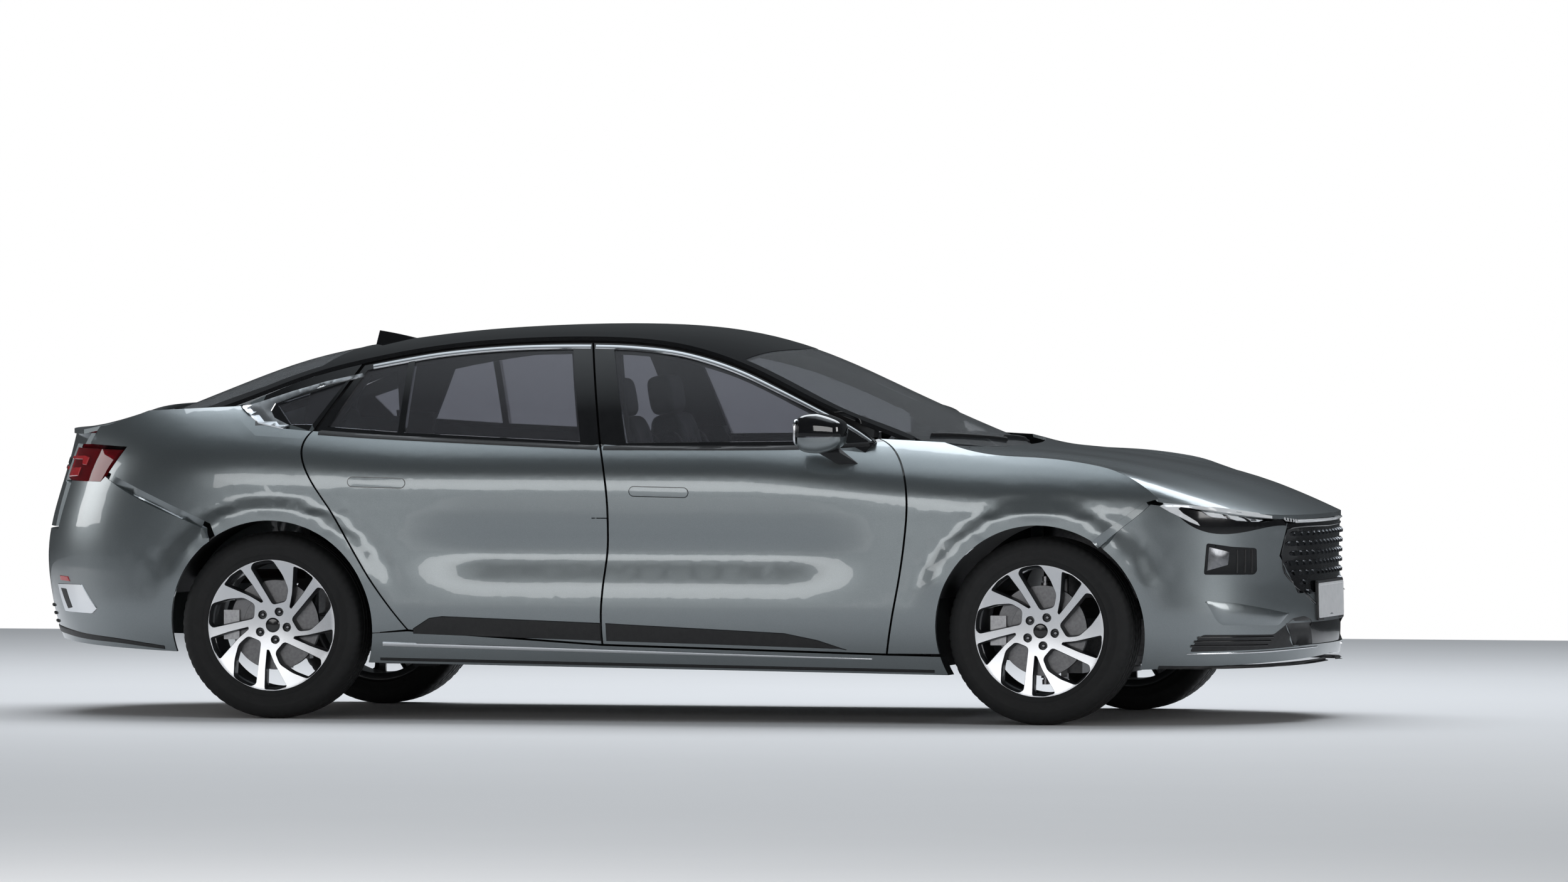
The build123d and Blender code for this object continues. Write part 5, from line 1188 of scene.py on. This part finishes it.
mesh_piece("diffuser", join_blocks(ribs), black_trim, "body")

# Windscreen foot: wipers on the glass
GLASS_NODES = ("windshield", "hood", "cowl", "roof", "rear_window", "trunk_lid")
top_view = View(AHEAD, LEFT, -UP, *GLASS_NODES)
WIPERS = ([(1.215, -0.02), (1.150, -0.28), (1.055, -0.56)], [(1.180, 0.50), (1.195, 0.26), (1.195, 0.04)])
for number, path in enumerate(WIPERS):
    blade = strip(top_view, path, [0.020, 0.014, 0.008], 0.012, 0.0)
    mesh_piece(f"wiper_{number}", blade, black_trim, "body")


# Studio: pale floor, soft light and the camera of the photograph
def studio_look(name, colour, rough):
    """A pale matt surface with a slow change of tone."""
    tree = Tree(name)
    tree.colour(tree.ramp(tree.noise(0.7, 3.0), [c * 0.985 for c in colour], colour))
    tree.set(Roughness=rough)
    return tree.material


FLOOR_REACH = 40.0
FLOOR_END = 9.0
floor_mesh = bpy.data.meshes.new("floor")
floor_corners = [
    (-FLOOR_REACH, -FLOOR_REACH), (FLOOR_REACH, -FLOOR_REACH), (FLOOR_REACH, FLOOR_END),
    (-FLOOR_REACH, FLOOR_END),
]
floor_mesh.from_pydata([(x, y, 0) for x, y in floor_corners], [], [(0, 1, 2, 3)])
floor_mesh.materials.append(studio_look("studio_floor", (0.80, 0.79, 0.795), 0.6))
floor = bpy.data.objects.new("floor", floor_mesh)
scene.collection.objects.link(floor)

world = bpy.data.worlds.new("studio")
scene.world = world
world.use_nodes = True
sky = world.node_tree
background = sky.nodes["Background"]


def sky_node(kind):
    return sky.nodes.new("ShaderNode" + kind)


# The camera and the panes see plain white, and everything else is lit by bands of sky
height, split, bands = sky_node("TexCoord"), sky_node("SeparateXYZ"), sky_node("ValToRGB")
white, seen = sky_node("Background"), sky_node("MixShader")
ray, either = sky_node("LightPath"), sky_node("Math")
either.operation = "MAXIMUM"
background.inputs["Strength"].default_value = 1.0
white.inputs["Strength"].default_value = 1.0
white.inputs["Color"].default_value = (1, 1, 1, 1)
SKY_TINT = (0.86, 0.94, 1.0)
SKY_BANDS = ((0.0, 0.055), (0.55, 0.060), (0.84, 0.10), (0.93, 0.80), (1.0, 1.35))
while len(bands.color_ramp.elements) < len(SKY_BANDS):
    bands.color_ramp.elements.new(0.5)
for stop, (place, level) in zip(bands.color_ramp.elements, SKY_BANDS):
    stop.position = place
    stop.color = (*(level * tint for tint in SKY_TINT), 1)
SKY_LINKS = (
    (height.outputs["Generated"], split.inputs["Vector"]),
    (split.outputs["Z"], bands.inputs["Fac"]),
    (bands.outputs["Color"], background.inputs["Color"]),
    (ray.outputs["Is Camera Ray"], either.inputs[0]),
    (ray.outputs["Is Transmission Ray"], either.inputs[1]),
    (either.outputs["Value"], seen.inputs["Fac"]),
    (background.outputs["Background"], seen.inputs[1]),
    (white.outputs["Background"], seen.inputs[2]),
    (seen.outputs["Shader"], sky.nodes["World Output"].inputs["Surface"]),
)
for source, target in SKY_LINKS:
    sky.links.new(source, target)


def lamp(name, place, aim, size, watts, colour=(1, 1, 1)):
    light = bpy.data.lights.new(name, "AREA")
    light.shape = "RECTANGLE"
    light.size, light.size_y = size
    light.energy = watts
    light.color = colour
    holder = bpy.data.objects.new(name, light)
    holder.location = place
    holder.rotation_euler = (Vector(aim) - Vector(place)).to_track_quat("-Z", "Y").to_euler()
    scene.collection.objects.link(holder)


COOL = (0.90, 0.95, 1.0)
lamp("overhead", (0.0, 3.4, 7.2), (0.0, 0.0, 0.6), (11.0, 4.6), 660, COOL)
lamp("near_side", (-1.0, -17.0, 3.3), (0.0, 0.0, 0.9), (17.0, 3.6), 560)
lamp("nose", (11.0, -5.0, 3.0), (1.8, 0.0, 0.7), (4.0, 3.0), 205)
lamp("tail", (-11.0, 0.0, 3.0), (-1.8, 0.0, 0.7), (4.0, 3.0), 140)

AZIMUTH = radians(13.9075)
YAW = radians(13.641)
PITCH = radians(1.291)
DISTANCE = 73.848
EYE_HEIGHT = 2.693
FOCAL_PIXELS = 31178
PHOTO_WIDTH = 2500
view_forward = Vector((-sin(YAW) * cos(PITCH), cos(YAW) * cos(PITCH), -sin(PITCH)))
view_right = Vector((cos(YAW), sin(YAW), 0))
view_up = view_right.cross(view_forward)
camera_data = bpy.data.cameras.new("camera")
camera_data.sensor_width = 36.0
camera_data.sensor_fit = "HORIZONTAL"
camera_data.lens = FOCAL_PIXELS / PHOTO_WIDTH * camera_data.sensor_width
camera_data.clip_end = 400.0
camera = bpy.data.objects.new("camera", camera_data)
camera.matrix_world = Matrix((
    (view_right.x, view_up.x, -view_forward.x, DISTANCE * sin(AZIMUTH)),
    (view_right.y, view_up.y, -view_forward.y, -DISTANCE * cos(AZIMUTH)),
    (view_right.z, view_up.z, -view_forward.z, EYE_HEIGHT),
    (0, 0, 0, 1),
))
scene.collection.objects.link(camera)
scene.camera = camera
scene.view_settings.view_transform = "Standard"
